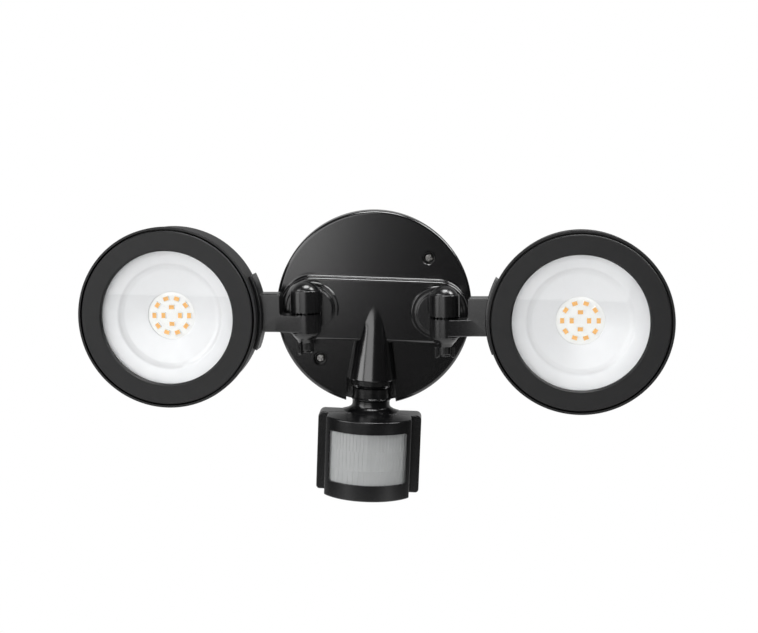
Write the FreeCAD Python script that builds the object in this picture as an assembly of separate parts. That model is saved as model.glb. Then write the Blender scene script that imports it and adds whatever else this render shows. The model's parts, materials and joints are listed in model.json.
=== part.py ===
import FreeCAD, Part
import math
import os

V = FreeCAD.Vector

# ---------------------------------------------------------------- frame
# Millimetres. The wall is the plane y = 0, the light stands out towards -Y, +Z is up.

# ---------------------------------------------------------------- fits
GAP = 0.3              # between curved faces of bodies that move past each other
RUN = 0.05             # radial running fit of pins, studs and dials
HOLE_CLEAR = 0.2       # radial clearance of screw holes
LAP = 0.6              # overlap used where two pieces of one casting are joined
TINY = 0.05            # flat sliding faces

# ---------------------------------------------------------------- canopy
GASKET_T = 1.6
GASKET_W = 7.5
CANOPY_R = 58.5
CANOPY_T = 14.5
CANOPY_WALL = 2.2
FACE_WALL = 2.4
CANOPY_EDGE = 2.0
FACE_Y = -(GASKET_T + CANOPY_T)
BRIDGE_RISE = 9.5
BRIDGE_HALF = 18.5
BRIDGE_EDGE = 1.6
BRIDGE_Y = FACE_Y - BRIDGE_RISE
COLLAR_X = 37.0
COLLAR_R = 15.4
COLLAR_RISE = 1.2
COLLAR_Y = BRIDGE_Y - COLLAR_RISE
POCKET_HALF = 15.0
POCKET_WALL = 1.6
SCREW_CIRCLE = 88.9
SCREW_R = 1.75
SCREW_HEAD_R = 2.9
SCREW_HEAD_T = 1.9
RECESS_R = 3.7
RECESS_DEPTH = 3.5
BOSS_R = 5.4

# ---------------------------------------------------------------- stem for the sensor
STEM_Y = -17.5
STEM_TIP_Z = 3.0
STEM_TIP_R = -BRIDGE_Y + STEM_Y
STEM_GROWTH = 0.15
STEM_END_Z = -42.0
STEM_WALL = 2.2
THROAT_TOP_Z = -12.0
BALL_R = 9.6
BALL_Z = -38.0
SEAT_TOP_Z = -29.0
SEAT_HOLE_R = 5.0
RING_R = 12.4
RING_CUP_R = 14.3
RING_MOUTH_R = 7.6
RING_SET = 1.4

# ---------------------------------------------------------------- mounting plate
PLATE_R = 48.6
PLATE_T = 1.5
PLATE_OPEN_R = 15.0
SLOT_CENTRE = 39.7
SLOT_TRAVEL = 9.5
SLOT_R = 2.3
PLATE_WINDOW_HALF = 7.0
PLATE_WINDOW_R = 5.0
PLATE_WINDOW_Z = 31.0
GROUND_X = 26.0
GROUND_Z = -26.0
GROUND_R = 2.0
GROUND_HEAD_R = 3.6
GROUND_HEAD_T = 2.2
GROUND_WASHER_R = 4.6
GROUND_WASHER_T = 0.9

# ---------------------------------------------------------------- swivels and knuckles
DISC_R = 13.6
DISC_T = 1.5
STEP_R = 12.0
STEP_T = 1.4
STUD_R = 6.0
STUD_BORE_R = 3.5
STUD_END_Y = -13.2
NUT_FLATS = 17.0
NUT_T = 5.5
WASHER_T = 1.2
SEAL_IN_R = 8.6
SEAL_OUT_R = 12.4
SEAL_DEPTH = 0.9
PIN_OFFSET = 3.3
PIN_Y = -41.5
LUG_R = 8.75
LUG_TOP = 13.0
LUG_BOTTOM = -12.5
TEETH = 24
TOOTH_H = 0.9
BOLT_R = 3.0
DOME_R = 7.6
DOME_H = 5.0
CUP_R = 7.9
CUP_H = 5.2
WING_HALF = 5.9
WING_T = 1.8
WING_HUB_R = 4.2
WING_HUB_T = 4.6

# ---------------------------------------------------------------- arms
ARM_REACH = 78.0
ARM_TOP = 11.2
ARM_BOTTOM = -11.2
ARM_DEPTH = 11.0
ARM_STEP_X = 13.7
ARM_ROUND = 2.0
SADDLE_T = 2.6
SADDLE_FRONT = 9.5
SADDLE_UP = 33.0
SADDLE_DOWN = 27.0
ARM_SCREW_R = 1.7
ARM_SCREW_Z = 6.5
ARM_HEAD_R = 3.0
ARM_SCREW_SINK = 1.5
ARM_SCREW_BITE = 8.0

# ---------------------------------------------------------------- heads
OPENING_Y = PIN_Y - 17.6
HEAD_DROP = 1.7
RIM_R = 52.3
RIM_T = 5.0
BODY_R = 51.4
BODY_DEPTH = 29.0
BODY_ROUND = 6.0
CAVITY_R = 43.0
CAVITY_DEPTH = 24.0
GROOVE = 0.9
BEZEL_R = 50.1
BEZEL_T = 5.7
OPENING_R = 38.5
LENS_R = 43.7
LENS_T = 2.0
LENS_SEAT = 3.0
GASKET_R = 40.2
REFLECTOR_R = 45.2
REFLECTOR_SEAT = 7.2
REFLECTOR_T = 1.2
STEP_RING_R = 29.8
HOLE_R = 13.9
BOARD_R = 19.0
BOARD_FACE = 13.2
BOARD_T = 1.6
CHIP_L = 3.5
CHIP_W = 2.8
CHIP_T = 0.8
OUTER_CHIPS = 10
OUTER_RING = 10.3
INNER_CHIPS = 4
INNER_RING = 4.9
FIN_COUNT = 9
FIN_PITCH = 9.0
FIN_T = 2.0
FIN_H = 5.0
FIN_R = 42.0
HEAD_SCREW_R = 1.5
HEAD_SCREW_RING = 47.3
HEAD_SCREW_SEAT = 26.0
BOARD_SCREW_RING = 16.6

# ---------------------------------------------------------------- rest pose
REST_ROLL = {"left": -2.7, "right": -3.0}
REST_YAW = {"left": -7.4, "right": -8.7}
REST_WING = {"left": 49.0, "right": 0.0}
REST_PAN = -3.0

# ---------------------------------------------------------------- sensor
NECK_R = 11.2
NECK_CUP_R = 14.7
NECK_BEAD_R = 11.8
NECK_DROP = 5.0
BEAD_Z = BALL_Z - 16.0
FLARE_R = 16.5
SPINE_R = 13.5
SPINE_TIP_R = 7.0
SPINE_BEND = 18.8
SPINE_LENGTH = 28.8
WAIST_R = 3.6
TONGUE_T = 5.0
TONGUE_R = 5.0
SLOT_TOP = 5.6
PIVOT_R = 1.5
SENSOR_TOP = -61.2
SENSOR_BOTTOM = -108.3
SENSOR_REAR = STEM_Y + 2.5
SENSOR_DEPTH = 41.5
SENSOR_HALF = 30.7
SENSOR_CORNER = 3.2
WING_FRONT = 15.0
FRONT_HALF = 25.0
FRONT_R = 30.2
SHELL_WALL = 1.6
WINDOW_HALF = 22.7
WINDOW_TOP = -68.6
WINDOW_BOTTOM = -98.8
WINDOW_CORNER = 1.2
PIR_LENS_T = 0.9
PIR_LENS_LAP = 2.0
SENSOR_EDGE = 1.2
FRONT_EDGE = 0.8
REAR_WALL = 2.0
REAR_POST_R = 3.2
FRONT_POST_R = 2.6
FRONT_POST_L = 9.0
CASE_SCREW_R = 1.25
CASE_HEAD_R = 2.3
CASE_SINK = 2.4
CASE_SCREW_X = 19.4
CASE_SCREW_IN = 5.4
DIAL_R = 4.0
DIAL_X = 11.0
DIAL_Y = STEM_Y - 20.0
DIAL_T = 3.4


# ---------------------------------------------------------------- shape helpers
def cyl_y(radius, y_from, y_to, x=0.0, z=0.0):
    return Part.makeCylinder(radius, y_to - y_from, V(x, y_from, z), V(0, 1, 0))


def cyl_z(radius, z_from, z_to, x=0.0, y=0.0):
    return Part.makeCylinder(radius, z_to - z_from, V(x, y, z_from), V(0, 0, 1))


def cyl_x(radius, x_from, x_to, y=0.0, z=0.0):
    return Part.makeCylinder(radius, x_to - x_from, V(x_from, y, z), V(1, 0, 0))


def box(x0, x1, y0, y1, z0, z1):
    return Part.makeBox(x1 - x0, y1 - y0, z1 - z0, V(x0, y0, z0))


def ring_y(outer, inner, y_from, y_to, x=0.0, z=0.0):
    return cyl_y(outer, y_from, y_to, x, z).cut(cyl_y(inner, y_from - 1, y_to + 1, x, z))


def ring_z(outer, inner, z_from, z_to, x=0.0, y=0.0):
    return cyl_z(outer, z_from, z_to, x, y).cut(cyl_z(inner, z_from - 1, z_to + 1, x, y))


def turned_y(profile):
    """Solid of revolution about the Y axis from (radius, y) corners."""
    wire = Part.makePolygon([V(r, y, 0) for r, y in profile + profile[:1]])
    return Part.Face(wire).revolve(V(0, 0, 0), V(0, 1, 0), 360)


def turned_z(profile, x=0.0, y=0.0):
    """Solid of revolution about a vertical axis from (radius, z) corners."""
    wire = Part.makePolygon([V(r, 0, z) for r, z in profile + profile[:1]])
    solid = Part.Face(wire).revolve(V(0, 0, 0), V(0, 0, 1), 360)
    solid.translate(V(x, y, 0))
    return solid


def front_prism(points, y_from, y_to):
    """Prism with a front outline of (x, z) corners."""
    wire = Part.makePolygon([V(x, y_from, z) for x, z in points + points[:1]])
    return Part.Face(wire).extrude(V(0, y_to - y_from, 0))


def stadium_y(half_length, radius, y_from, y_to):
    """Bar with round ends lying along X, extruded along Y."""
    bar = box(-half_length, half_length, y_from, y_to, -radius, radius)
    ends = [cyl_y(radius, y_from, y_to, x) for x in (-half_length, half_length)]
    return bar.multiFuse(ends).removeSplitter()


def hexagon_y(flats, y_from, y_to, x=0.0, z=0.0):
    corner = flats / math.sqrt(3)
    angles = [math.radians(60 * k) for k in range(6)]
    points = [(x + corner * math.cos(a), z + corner * math.sin(a)) for a in angles]
    return front_prism(points, y_from, y_to)


def turned_copy(shape, centre, axis, degrees):
    copy = shape.copy()
    copy.rotate(centre, axis, degrees)
    return copy


def cut_all(shape, tools):
    for tool in tools:
        shape = shape.cut(tool)
    return shape


def around(shape, centre, axis, count):
    """The same shape repeated evenly about an axis."""
    return [turned_copy(shape, centre, axis, k * 360.0 / count) for k in range(count)]


def round_edges(shape, radius, wanted):
    edges = [edge for edge in shape.Edges if wanted(edge)]
    return shape.makeFillet(radius, edges)


def lies_at_y(edge, y):
    box_ = edge.BoundBox
    return abs(box_.YMin - y) < 0.01 and abs(box_.YMax - y) < 0.01


def lies_at_z(edge, z):
    box_ = edge.BoundBox
    return abs(box_.ZMin - z) < 0.01 and abs(box_.ZMax - z) < 0.01


def dome_z(radius, height, z, up, x, y):
    """Spherical cap standing on the level z."""
    ball = (radius ** 2 + height ** 2) / (2 * height)
    centre = z + (height - ball if up else ball - height)
    cap = Part.makeSphere(ball, V(x, y, centre))
    keep = cyl_z(radius, z, z + height, x, y) if up else cyl_z(radius, z - height, z, x, y)
    return cap.common(keep)


def cross_slot_y(radius, depth, y_face, x, z):
    """Cross recess cut into a screw head whose face looks towards -Y."""
    width = radius * 0.32
    reach = radius * 0.72
    flat = box(x - reach, x + reach, y_face - 1, y_face + depth, z - width / 2, z + width / 2)
    tall = box(x - width / 2, x + width / 2, y_face - 1, y_face + depth, z - reach, z + reach)
    return flat.fuse(tall)


def pan_screw_y(shank_r, head_r, head_t, y_seat, y_tip, x, z):
    """Pan-head screw with its head towards -Y."""
    head = cyl_y(head_r, y_seat - head_t, y_seat, x, z)
    head = round_edges(head, head_t * 0.45, lambda e: lies_at_y(e, y_seat - head_t))
    head = head.cut(cross_slot_y(head_r, head_t * 0.6, y_seat - head_t, x, z))
    return head.fuse(cyl_y(shank_r, y_seat - 0.1, y_tip, x, z))


# ---------------------------------------------------------------- canopy group
BOARD_POST_H = 3.0
BOARD_POST_Y = FACE_Y + FACE_WALL + BOARD_POST_H
BOARD_POST_R = 2.6
BOARD_SCREW_R = 1.15
DRIVER_T = 1.6
DRIVER_HALF_X = 25.5
DRIVER_HALF_Z = 22.8
DRIVER_SCREW_X = 22.0
DRIVER_SCREW_Z = 19.8


def stem_radius(z, inset=0.0):
    return STEM_TIP_R + STEM_GROWTH * (STEM_TIP_Z - z) - inset


def stem_cone(z_top, z_bottom, inset):
    """Tapered stem, kept in front of the wall gasket."""
    top = stem_radius(z_top, inset)
    bottom = stem_radius(z_bottom, inset)
    cone = Part.makeCone(bottom, top, z_top - z_bottom, V(0, STEM_Y, z_bottom), V(0, 0, 1))
    return cone.common(box(-CANOPY_R, CANOPY_R, -CANOPY_R, -GASKET_T, -CANOPY_R, CANOPY_R))


def screw_spots():
    offset = SCREW_CIRCLE / 2 * math.cos(math.pi / 4)
    return [(offset, offset), (-offset, -offset)]


def driver_spots():
    return [(sx * DRIVER_SCREW_X, sz * DRIVER_SCREW_Z) for sx in (-1, 1) for sz in (-1, 1)]


def canopy_outer():
    dish = cyl_y(CANOPY_R, FACE_Y, -GASKET_T)
    dish = round_edges(dish, CANOPY_EDGE, lambda e: lies_at_y(e, FACE_Y))
    bridge = stadium_y(COLLAR_X, BRIDGE_HALF, BRIDGE_Y, FACE_Y + LAP)
    bridge = round_edges(bridge, BRIDGE_EDGE, lambda e: lies_at_y(e, BRIDGE_Y))
    collars = [cyl_y(COLLAR_R, COLLAR_Y, BRIDGE_Y + LAP, x) for x in (-COLLAR_X, COLLAR_X)]
    stem = stem_cone(STEM_TIP_Z, STEM_END_Z, 0.0)
    return dish.multiFuse([bridge, stem] + collars)


def canopy_hollow():
    dish = cyl_y(CANOPY_R - CANOPY_WALL, FACE_Y + FACE_WALL, 1.0)
    bridge = stadium_y(COLLAR_X, BRIDGE_HALF - FACE_WALL, BRIDGE_Y + FACE_WALL, FACE_Y + FACE_WALL + LAP)
    throat = stem_cone(THROAT_TOP_Z, SEAT_TOP_Z, STEM_WALL)
    return dish.multiFuse([bridge, throat])


def pocket_block():
    """Walls of the notch under the stem, where the sensor neck passes the rim."""
    half = POCKET_HALF + CANOPY_WALL
    block = box(-half, half, FACE_Y + LAP, -GASKET_T, -CANOPY_R, STEM_END_Z + CANOPY_WALL)
    return block.common(cyl_y(CANOPY_R - LAP, FACE_Y, 0.0))


def canopy_housing():
    shell = canopy_outer().cut(canopy_hollow())
    seat = stem_cone(SEAT_TOP_Z, STEM_END_Z, LAP)
    bosses = [cyl_y(BOSS_R, FACE_Y + LAP, -PLATE_T, x, z) for x, z in screw_spots()]
    posts = [cyl_y(BOARD_POST_R, FACE_Y + LAP, BOARD_POST_Y, x, z) for x, z in driver_spots()]
    shell = shell.multiFuse([seat, pocket_block()] + bosses + posts)
    cuts = [
        box(-POCKET_HALF, POCKET_HALF, -CANOPY_R, -GASKET_T - POCKET_WALL, -CANOPY_R - 1, STEM_END_Z),
        Part.makeSphere(BALL_R + GAP, V(0, STEM_Y, BALL_Z)),
        cyl_z(SEAT_HOLE_R, BALL_Z, SEAT_TOP_Z + 1, 0.0, STEM_Y),
        cyl_z(RING_R + RUN, STEM_END_Z - 1, STEM_END_Z + RING_SET, 0.0, STEM_Y),
    ]
    for x in (-COLLAR_X, COLLAR_X):
        cuts.append(cyl_y(STUD_R + RUN, COLLAR_Y - 1, BRIDGE_Y + FACE_WALL + 1, x))
        cuts.append(ring_y(SEAL_OUT_R, SEAL_IN_R, COLLAR_Y - 1, COLLAR_Y + SEAL_DEPTH, x))
    for x, z in screw_spots():
        cuts.append(cyl_y(RECESS_R, FACE_Y - 1, FACE_Y + RECESS_DEPTH, x, z))
        cuts.append(cyl_y(SCREW_R + HOLE_CLEAR, FACE_Y, 1.0, x, z))
    for x, z in driver_spots():
        cuts.append(cyl_y(BOARD_SCREW_R, BOARD_POST_Y - BOARD_POST_H, 0.0, x, z))
    return cut_all(shell, cuts)


def wall_gasket():
    outer = CANOPY_R - LAP
    return ring_y(outer, outer - GASKET_W, -GASKET_T, 0.0)


def mounting_plate():
    plate = cyl_y(PLATE_R, -PLATE_T, 0.0)
    cuts = [cyl_y(PLATE_OPEN_R, -PLATE_T - 1, 1.0)]
    for side in (-1, 1):
        slot = stadium_y(SLOT_TRAVEL / 2, SLOT_R, -PLATE_T - 1, 1.0)
        slot.translate(V(side * SLOT_CENTRE, 0, 0))
        window = stadium_y(PLATE_WINDOW_HALF, PLATE_WINDOW_R, -PLATE_T - 1, 1.0)
        window.translate(V(0, 0, side * PLATE_WINDOW_Z))
        cuts += [slot, window]
    cuts += [cyl_y(SCREW_R + RUN, -PLATE_T - 1, 1.0, x, z) for x, z in screw_spots()]
    cuts.append(cyl_y(GROUND_R + RUN, -PLATE_T - 1, 1.0, GROUND_X, GROUND_Z))
    return cut_all(plate, cuts)


def ground_screw():
    seat = -PLATE_T - GROUND_WASHER_T
    screw = pan_screw_y(GROUND_R, GROUND_HEAD_R, GROUND_HEAD_T, seat, -TINY, GROUND_X, GROUND_Z)
    washer = cyl_y(GROUND_WASHER_R, seat, -PLATE_T, GROUND_X, GROUND_Z)
    return screw.fuse(washer)


def canopy_screws():
    seat = FACE_Y + RECESS_DEPTH
    return Part.makeCompound(
        [pan_screw_y(SCREW_R, SCREW_HEAD_R, SCREW_HEAD_T, seat, -TINY, x, z) for x, z in screw_spots()])


def socket_ring():
    centre = V(0, STEM_Y, BALL_Z)
    ring = cyl_z(RING_R, BALL_Z - RING_CUP_R, STEM_END_Z + RING_SET, 0.0, STEM_Y)
    ring = ring.common(Part.makeSphere(RING_CUP_R, centre))
    ring = ring.cut(Part.makeSphere(BALL_R + GAP, centre))
    return ring.cut(cyl_z(RING_MOUTH_R, BALL_Z - RING_CUP_R - 1, BALL_Z, 0.0, STEM_Y))


# ---------------------------------------------------------------- driver group
TRANSFORMER = (-16.0, 0.0, -8.0, 8.0, 10.6)
RELAY = (13.0, 23.0, -9.5, 9.5, 9.8)
CAP_R = 4.0
CAP_H = 10.8
CAP_SPOTS = [(6.6, 7.0), (6.6, -5.0)]


def driver_pcb():
    board = box(-DRIVER_HALF_X, DRIVER_HALF_X, BOARD_POST_Y, BOARD_POST_Y + DRIVER_T,
                -DRIVER_HALF_Z, DRIVER_HALF_Z)
    holes = [cyl_y(BOARD_SCREW_R + HOLE_CLEAR, BOARD_POST_Y - 1, 0.0, x, z) for x, z in driver_spots()]
    return cut_all(board, holes)


def driver_transformer():
    x0, x1, z0, z1, height = TRANSFORMER
    core = box(x0, x1, BOARD_POST_Y - height, BOARD_POST_Y - 1.6, z0, z1)
    bobbin = box(x0 + 2.4, x1 - 2.4, BOARD_POST_Y - height + 1.2, BOARD_POST_Y, z0 - 1.6, z1 + 1.6)
    tape = box(x0 - 0.3, x1 + 0.3, BOARD_POST_Y - 6.6, BOARD_POST_Y - 3.6, z0 - 0.3, z1 + 0.3)
    return core.multiFuse([bobbin, tape])


def driver_capacitors():
    cans = []
    for x, z in CAP_SPOTS:
        can = cyl_y(CAP_R, BOARD_POST_Y - CAP_H, BOARD_POST_Y, x, z)
        can = round_edges(can, 0.5, lambda e: lies_at_y(e, BOARD_POST_Y - CAP_H))
        waist = ring_y(CAP_R + 1, CAP_R - 0.35, BOARD_POST_Y - 2.4, BOARD_POST_Y - 1.6, x, z)
        cans.append(can.cut(waist))
    return Part.makeCompound(cans)


def driver_relay():
    x0, x1, z0, z1, height = RELAY
    case = box(x0, x1, BOARD_POST_Y - height, BOARD_POST_Y, z0, z1)
    return round_edges(case, 0.5, lambda e: lies_at_y(e, BOARD_POST_Y - height))


def driver_screws():
    screws = []
    for x, z in driver_spots():
        seat = BOARD_POST_Y + DRIVER_T
        head = cyl_y(2.1, seat, seat + 1.4, x, z)
        shank = cyl_y(BOARD_SCREW_R - RUN, BOARD_POST_Y - BOARD_POST_H + 0.2, seat + 0.1, x, z)
        slot = box(x - 1.5, x + 1.5, seat + 0.8, seat + 2, z - 0.3, z + 0.3)
        screws.append(head.fuse(shank).cut(slot))
    return Part.makeCompound(screws)


# ---------------------------------------------------------------- knuckles, right side
PIN_X = COLLAR_X + PIN_OFFSET
DISC_Y = COLLAR_Y - GAP
STEP_Y = DISC_Y - DISC_T
SWIVEL_FACE_Y = STEP_Y - STEP_T
UPPER_TIP_Z = -0.25
LOWER_TIP_Z = UPPER_TIP_Z - GAP
UPPER_FLAT_Z = UPPER_TIP_Z + TOOTH_H
LOWER_FLAT_Z = LOWER_TIP_Z - TOOTH_H
CUP_TOP_Z = LUG_BOTTOM
WING_TOP_Z = CUP_TOP_Z - CUP_H - TINY


def tooth_row(z_flat, z_tip):
    """Ring of radial teeth on the end of a knuckle lug."""
    inner = BOLT_R + 1.2
    root = z_flat + (z_flat - z_tip) * 0.1
    ends = []
    for radius in (inner, LUG_R + 1.0):
        half = math.pi * radius / TEETH * 0.98
        corners = [V(radius, -half, root), V(radius, half, root), V(radius, 0, z_tip)]
        ends.append(Part.makePolygon(corners + corners[:1]))
    tooth = Part.makeLoft(ends, True, True)
    low, high = min(root, z_tip) - 1, max(root, z_tip) + 1
    tooth = tooth.common(ring_z(LUG_R, inner, low, high))
    row = Part.makeCompound(around(tooth, V(0, 0, 0), V(0, 0, 1), TEETH))
    row.translate(V(PIN_X, PIN_Y, 0))
    return row.Solids


def swivel():
    disc = cyl_y(DISC_R, STEP_Y, DISC_Y, COLLAR_X)
    disc = round_edges(disc, 0.5, lambda e: lies_at_y(e, STEP_Y))
    step = cyl_y(STEP_R, SWIVEL_FACE_Y, STEP_Y + 0.1, COLLAR_X)
    step = round_edges(step, 0.5, lambda e: lies_at_y(e, SWIVEL_FACE_Y))
    stud = cyl_y(STUD_R, DISC_Y - 0.1, STUD_END_Y, COLLAR_X)
    lug = cyl_z(LUG_R, UPPER_FLAT_Z, LUG_TOP, PIN_X, PIN_Y)
    lug = round_edges(lug, 0.5, lambda e: lies_at_z(e, LUG_TOP))
    neck = box(COLLAR_X - 5.2, PIN_X + 5.2, PIN_Y, SWIVEL_FACE_Y + 0.5, UPPER_FLAT_Z, LUG_TOP - 2.0)
    neck = round_edges(neck, 1.5, lambda e: e.BoundBox.YLength > 5 and e.BoundBox.ZMin > UPPER_FLAT_Z + 1)
    body = disc.multiFuse([step, stud, lug, neck] + tooth_row(UPPER_FLAT_Z, UPPER_TIP_Z))
    bolt_hole = cyl_z(BOLT_R + RUN, UPPER_TIP_Z - 1, LUG_TOP + 1, PIN_X, PIN_Y)
    return body.cut(bolt_hole).cut(cyl_y(STUD_BORE_R, DISC_Y - 1, STUD_END_Y + 1, COLLAR_X))


def swivel_seal():
    return ring_y(SEAL_OUT_R - RUN, SEAL_IN_R + RUN, DISC_Y + TINY, COLLAR_Y + SEAL_DEPTH, COLLAR_X)


def swivel_washer():
    inside = BRIDGE_Y + FACE_WALL
    return ring_y(STUD_R + 3.2, STUD_R + RUN, inside + TINY, inside + WASHER_T, COLLAR_X)


def swivel_nut():
    start = BRIDGE_Y + FACE_WALL + WASHER_T
    nut = hexagon_y(NUT_FLATS, start, start + NUT_T, COLLAR_X)
    nut_end = V(COLLAR_X, start + NUT_T, 0)
    crown = Part.makeCone(NUT_FLATS * 0.5, NUT_FLATS * 0.62, NUT_T, nut_end, V(0, -1, 0))
    return nut.common(crown).cut(cyl_y(STUD_R + RUN, start - 1, start + NUT_T + 1, COLLAR_X))


def hinge_bolt():
    head = dome_z(DOME_R, DOME_H, LUG_TOP, True, PIN_X, PIN_Y)
    shank = cyl_z(BOLT_R, WING_TOP_Z - WING_HUB_T - 1.4, LUG_TOP + 0.1, PIN_X, PIN_Y)
    return head.fuse(shank)


def cup_washer():
    cup = dome_z(CUP_R, CUP_H, CUP_TOP_Z, False, PIN_X, PIN_Y)
    flat = cyl_z(WING_HUB_R + 0.6, CUP_TOP_Z - CUP_H, CUP_TOP_Z, PIN_X, PIN_Y)
    return cup.fuse(flat).cut(cyl_z(BOLT_R + RUN, CUP_TOP_Z - CUP_H - 1, CUP_TOP_Z + 1, PIN_X, PIN_Y))


def wing_nut():
    top = WING_TOP_Z
    hub = cyl_z(WING_HUB_R, top - WING_HUB_T, top, PIN_X, PIN_Y)
    hub = round_edges(hub, 0.6, lambda e: lies_at_z(e, top - WING_HUB_T))
    outline = [(0.0, -5.2), (-2.6, -5.0), (-4.4, -6.8), (-5.6, -6.6), (-WING_HALF, -5.4),
               (-WING_HALF, 0.0), (WING_HALF, 0.0), (WING_HALF, -5.4), (5.6, -6.6), (4.4, -6.8),
               (2.6, -5.0)]
    points = [(PIN_X + x, top + z) for x, z in outline]
    wings = front_prism(points, PIN_Y - WING_T / 2, PIN_Y + WING_T / 2)
    wings = round_edges(wings, 0.3, lambda e: e.BoundBox.YLength < 0.01 and e.BoundBox.ZMax < top - 1)
    return hub.fuse(wings).cut(cyl_z(BOLT_R + RUN, top - 9, top + 1, PIN_X, PIN_Y))


HEAD_X = PIN_X + ARM_REACH


def saddle():
    """Curved pad of the arm that lies on the side wall of the head."""
    inner = BODY_R + TINY
    front, back = OPENING_Y + SADDLE_FRONT, PIN_Y + ARM_DEPTH / 2
    pad = ring_y(inner + SADDLE_T, inner, front, back, HEAD_X, -HEAD_DROP)
    reach = BODY_R * 2
    up, down = math.radians(SADDLE_UP), math.radians(SADDLE_DOWN)
    wedge = [(HEAD_X, -HEAD_DROP), (HEAD_X - reach * math.cos(up), reach * math.sin(up) - HEAD_DROP),
             (HEAD_X - reach * math.cos(down), -reach * math.sin(down) - HEAD_DROP)]
    pad = pad.common(front_prism(wedge, front - 1, back + 1))
    return round_edges(pad, 0.9, lambda e: lies_at_y(e, front) and e.BoundBox.XMin < HEAD_X - 47)


def arm():
    half = ARM_DEPTH / 2
    end = HEAD_X - BODY_R + 10.0
    bar = box(PIN_X + ARM_STEP_X, end, PIN_Y - half, PIN_Y + half, ARM_BOTTOM, ARM_TOP)
    bar = round_edges(bar, 1.0, lambda e: e.BoundBox.XLength > 10)
    low = box(PIN_X, PIN_X + ARM_STEP_X + 4, PIN_Y - half, PIN_Y + half, ARM_BOTTOM, LOWER_FLAT_Z)
    low = round_edges(low, 1.0, lambda e: e.BoundBox.XLength > 10 and e.BoundBox.ZMax < ARM_BOTTOM + 1)
    heel = box(PIN_X + ARM_STEP_X - ARM_ROUND, PIN_X + ARM_STEP_X + 1, PIN_Y - half, PIN_Y + half,
               LOWER_FLAT_Z - 0.1, LOWER_FLAT_Z + ARM_ROUND)
    hollow = Part.makeCylinder(ARM_ROUND, ARM_DEPTH + 2, V(PIN_X + ARM_STEP_X - ARM_ROUND, PIN_Y - half - 1,
                               LOWER_FLAT_Z + ARM_ROUND), V(0, 1, 0))
    heel = heel.cut(hollow)
    lug = cyl_z(LUG_R, LUG_BOTTOM, LOWER_FLAT_Z, PIN_X, PIN_Y)
    lug = round_edges(lug, 0.5, lambda e: lies_at_z(e, LUG_BOTTOM))
    body = bar.multiFuse([low, heel, lug, saddle()] + tooth_row(LOWER_FLAT_Z, LOWER_TIP_Z))
    seam = box(PIN_X + ARM_STEP_X + 1, end, PIN_Y - half - 1, PIN_Y - half + 0.25, -0.6, -0.2)
    cuts = [cyl_z(BOLT_R + RUN, LUG_BOTTOM - 1, LOWER_TIP_Z + 1, PIN_X, PIN_Y), seam,
            cyl_y(BODY_R + TINY, OPENING_Y, 0.0, HEAD_X, -HEAD_DROP)]
    for z in (-ARM_SCREW_Z, ARM_SCREW_Z):
        cuts.append(cyl_x(ARM_SCREW_R + RUN, HEAD_X - BODY_R - ARM_SCREW_BITE, HEAD_X, PIN_Y, z))
    return cut_all(body, cuts)


def arm_screws():
    """Screws from inside the head into the arm."""
    screws = []
    seat = HEAD_X - CAVITY_R - ARM_SCREW_SINK
    for z in (-ARM_SCREW_Z, ARM_SCREW_Z):
        head = cyl_x(ARM_HEAD_R, seat, seat + 2.0, PIN_Y, z)
        slot = box(seat + 1.0, seat + 3.0, PIN_Y - 0.4, PIN_Y + 0.4, z - 2.2, z + 2.2)
        shank = cyl_x(ARM_SCREW_R, HEAD_X - BODY_R - ARM_SCREW_BITE + 0.5, seat + 0.1, PIN_Y, z)
        screws.append(head.fuse(shank).cut(slot))
    return Part.makeCompound(screws)


# ---------------------------------------------------------------- heads, about the opening centre
def head_screw_spots():
    angles = [math.radians(45 + 90 * k) for k in range(4)]
    return [(HEAD_SCREW_RING * math.cos(a), HEAD_SCREW_RING * math.sin(a)) for a in angles]


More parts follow.
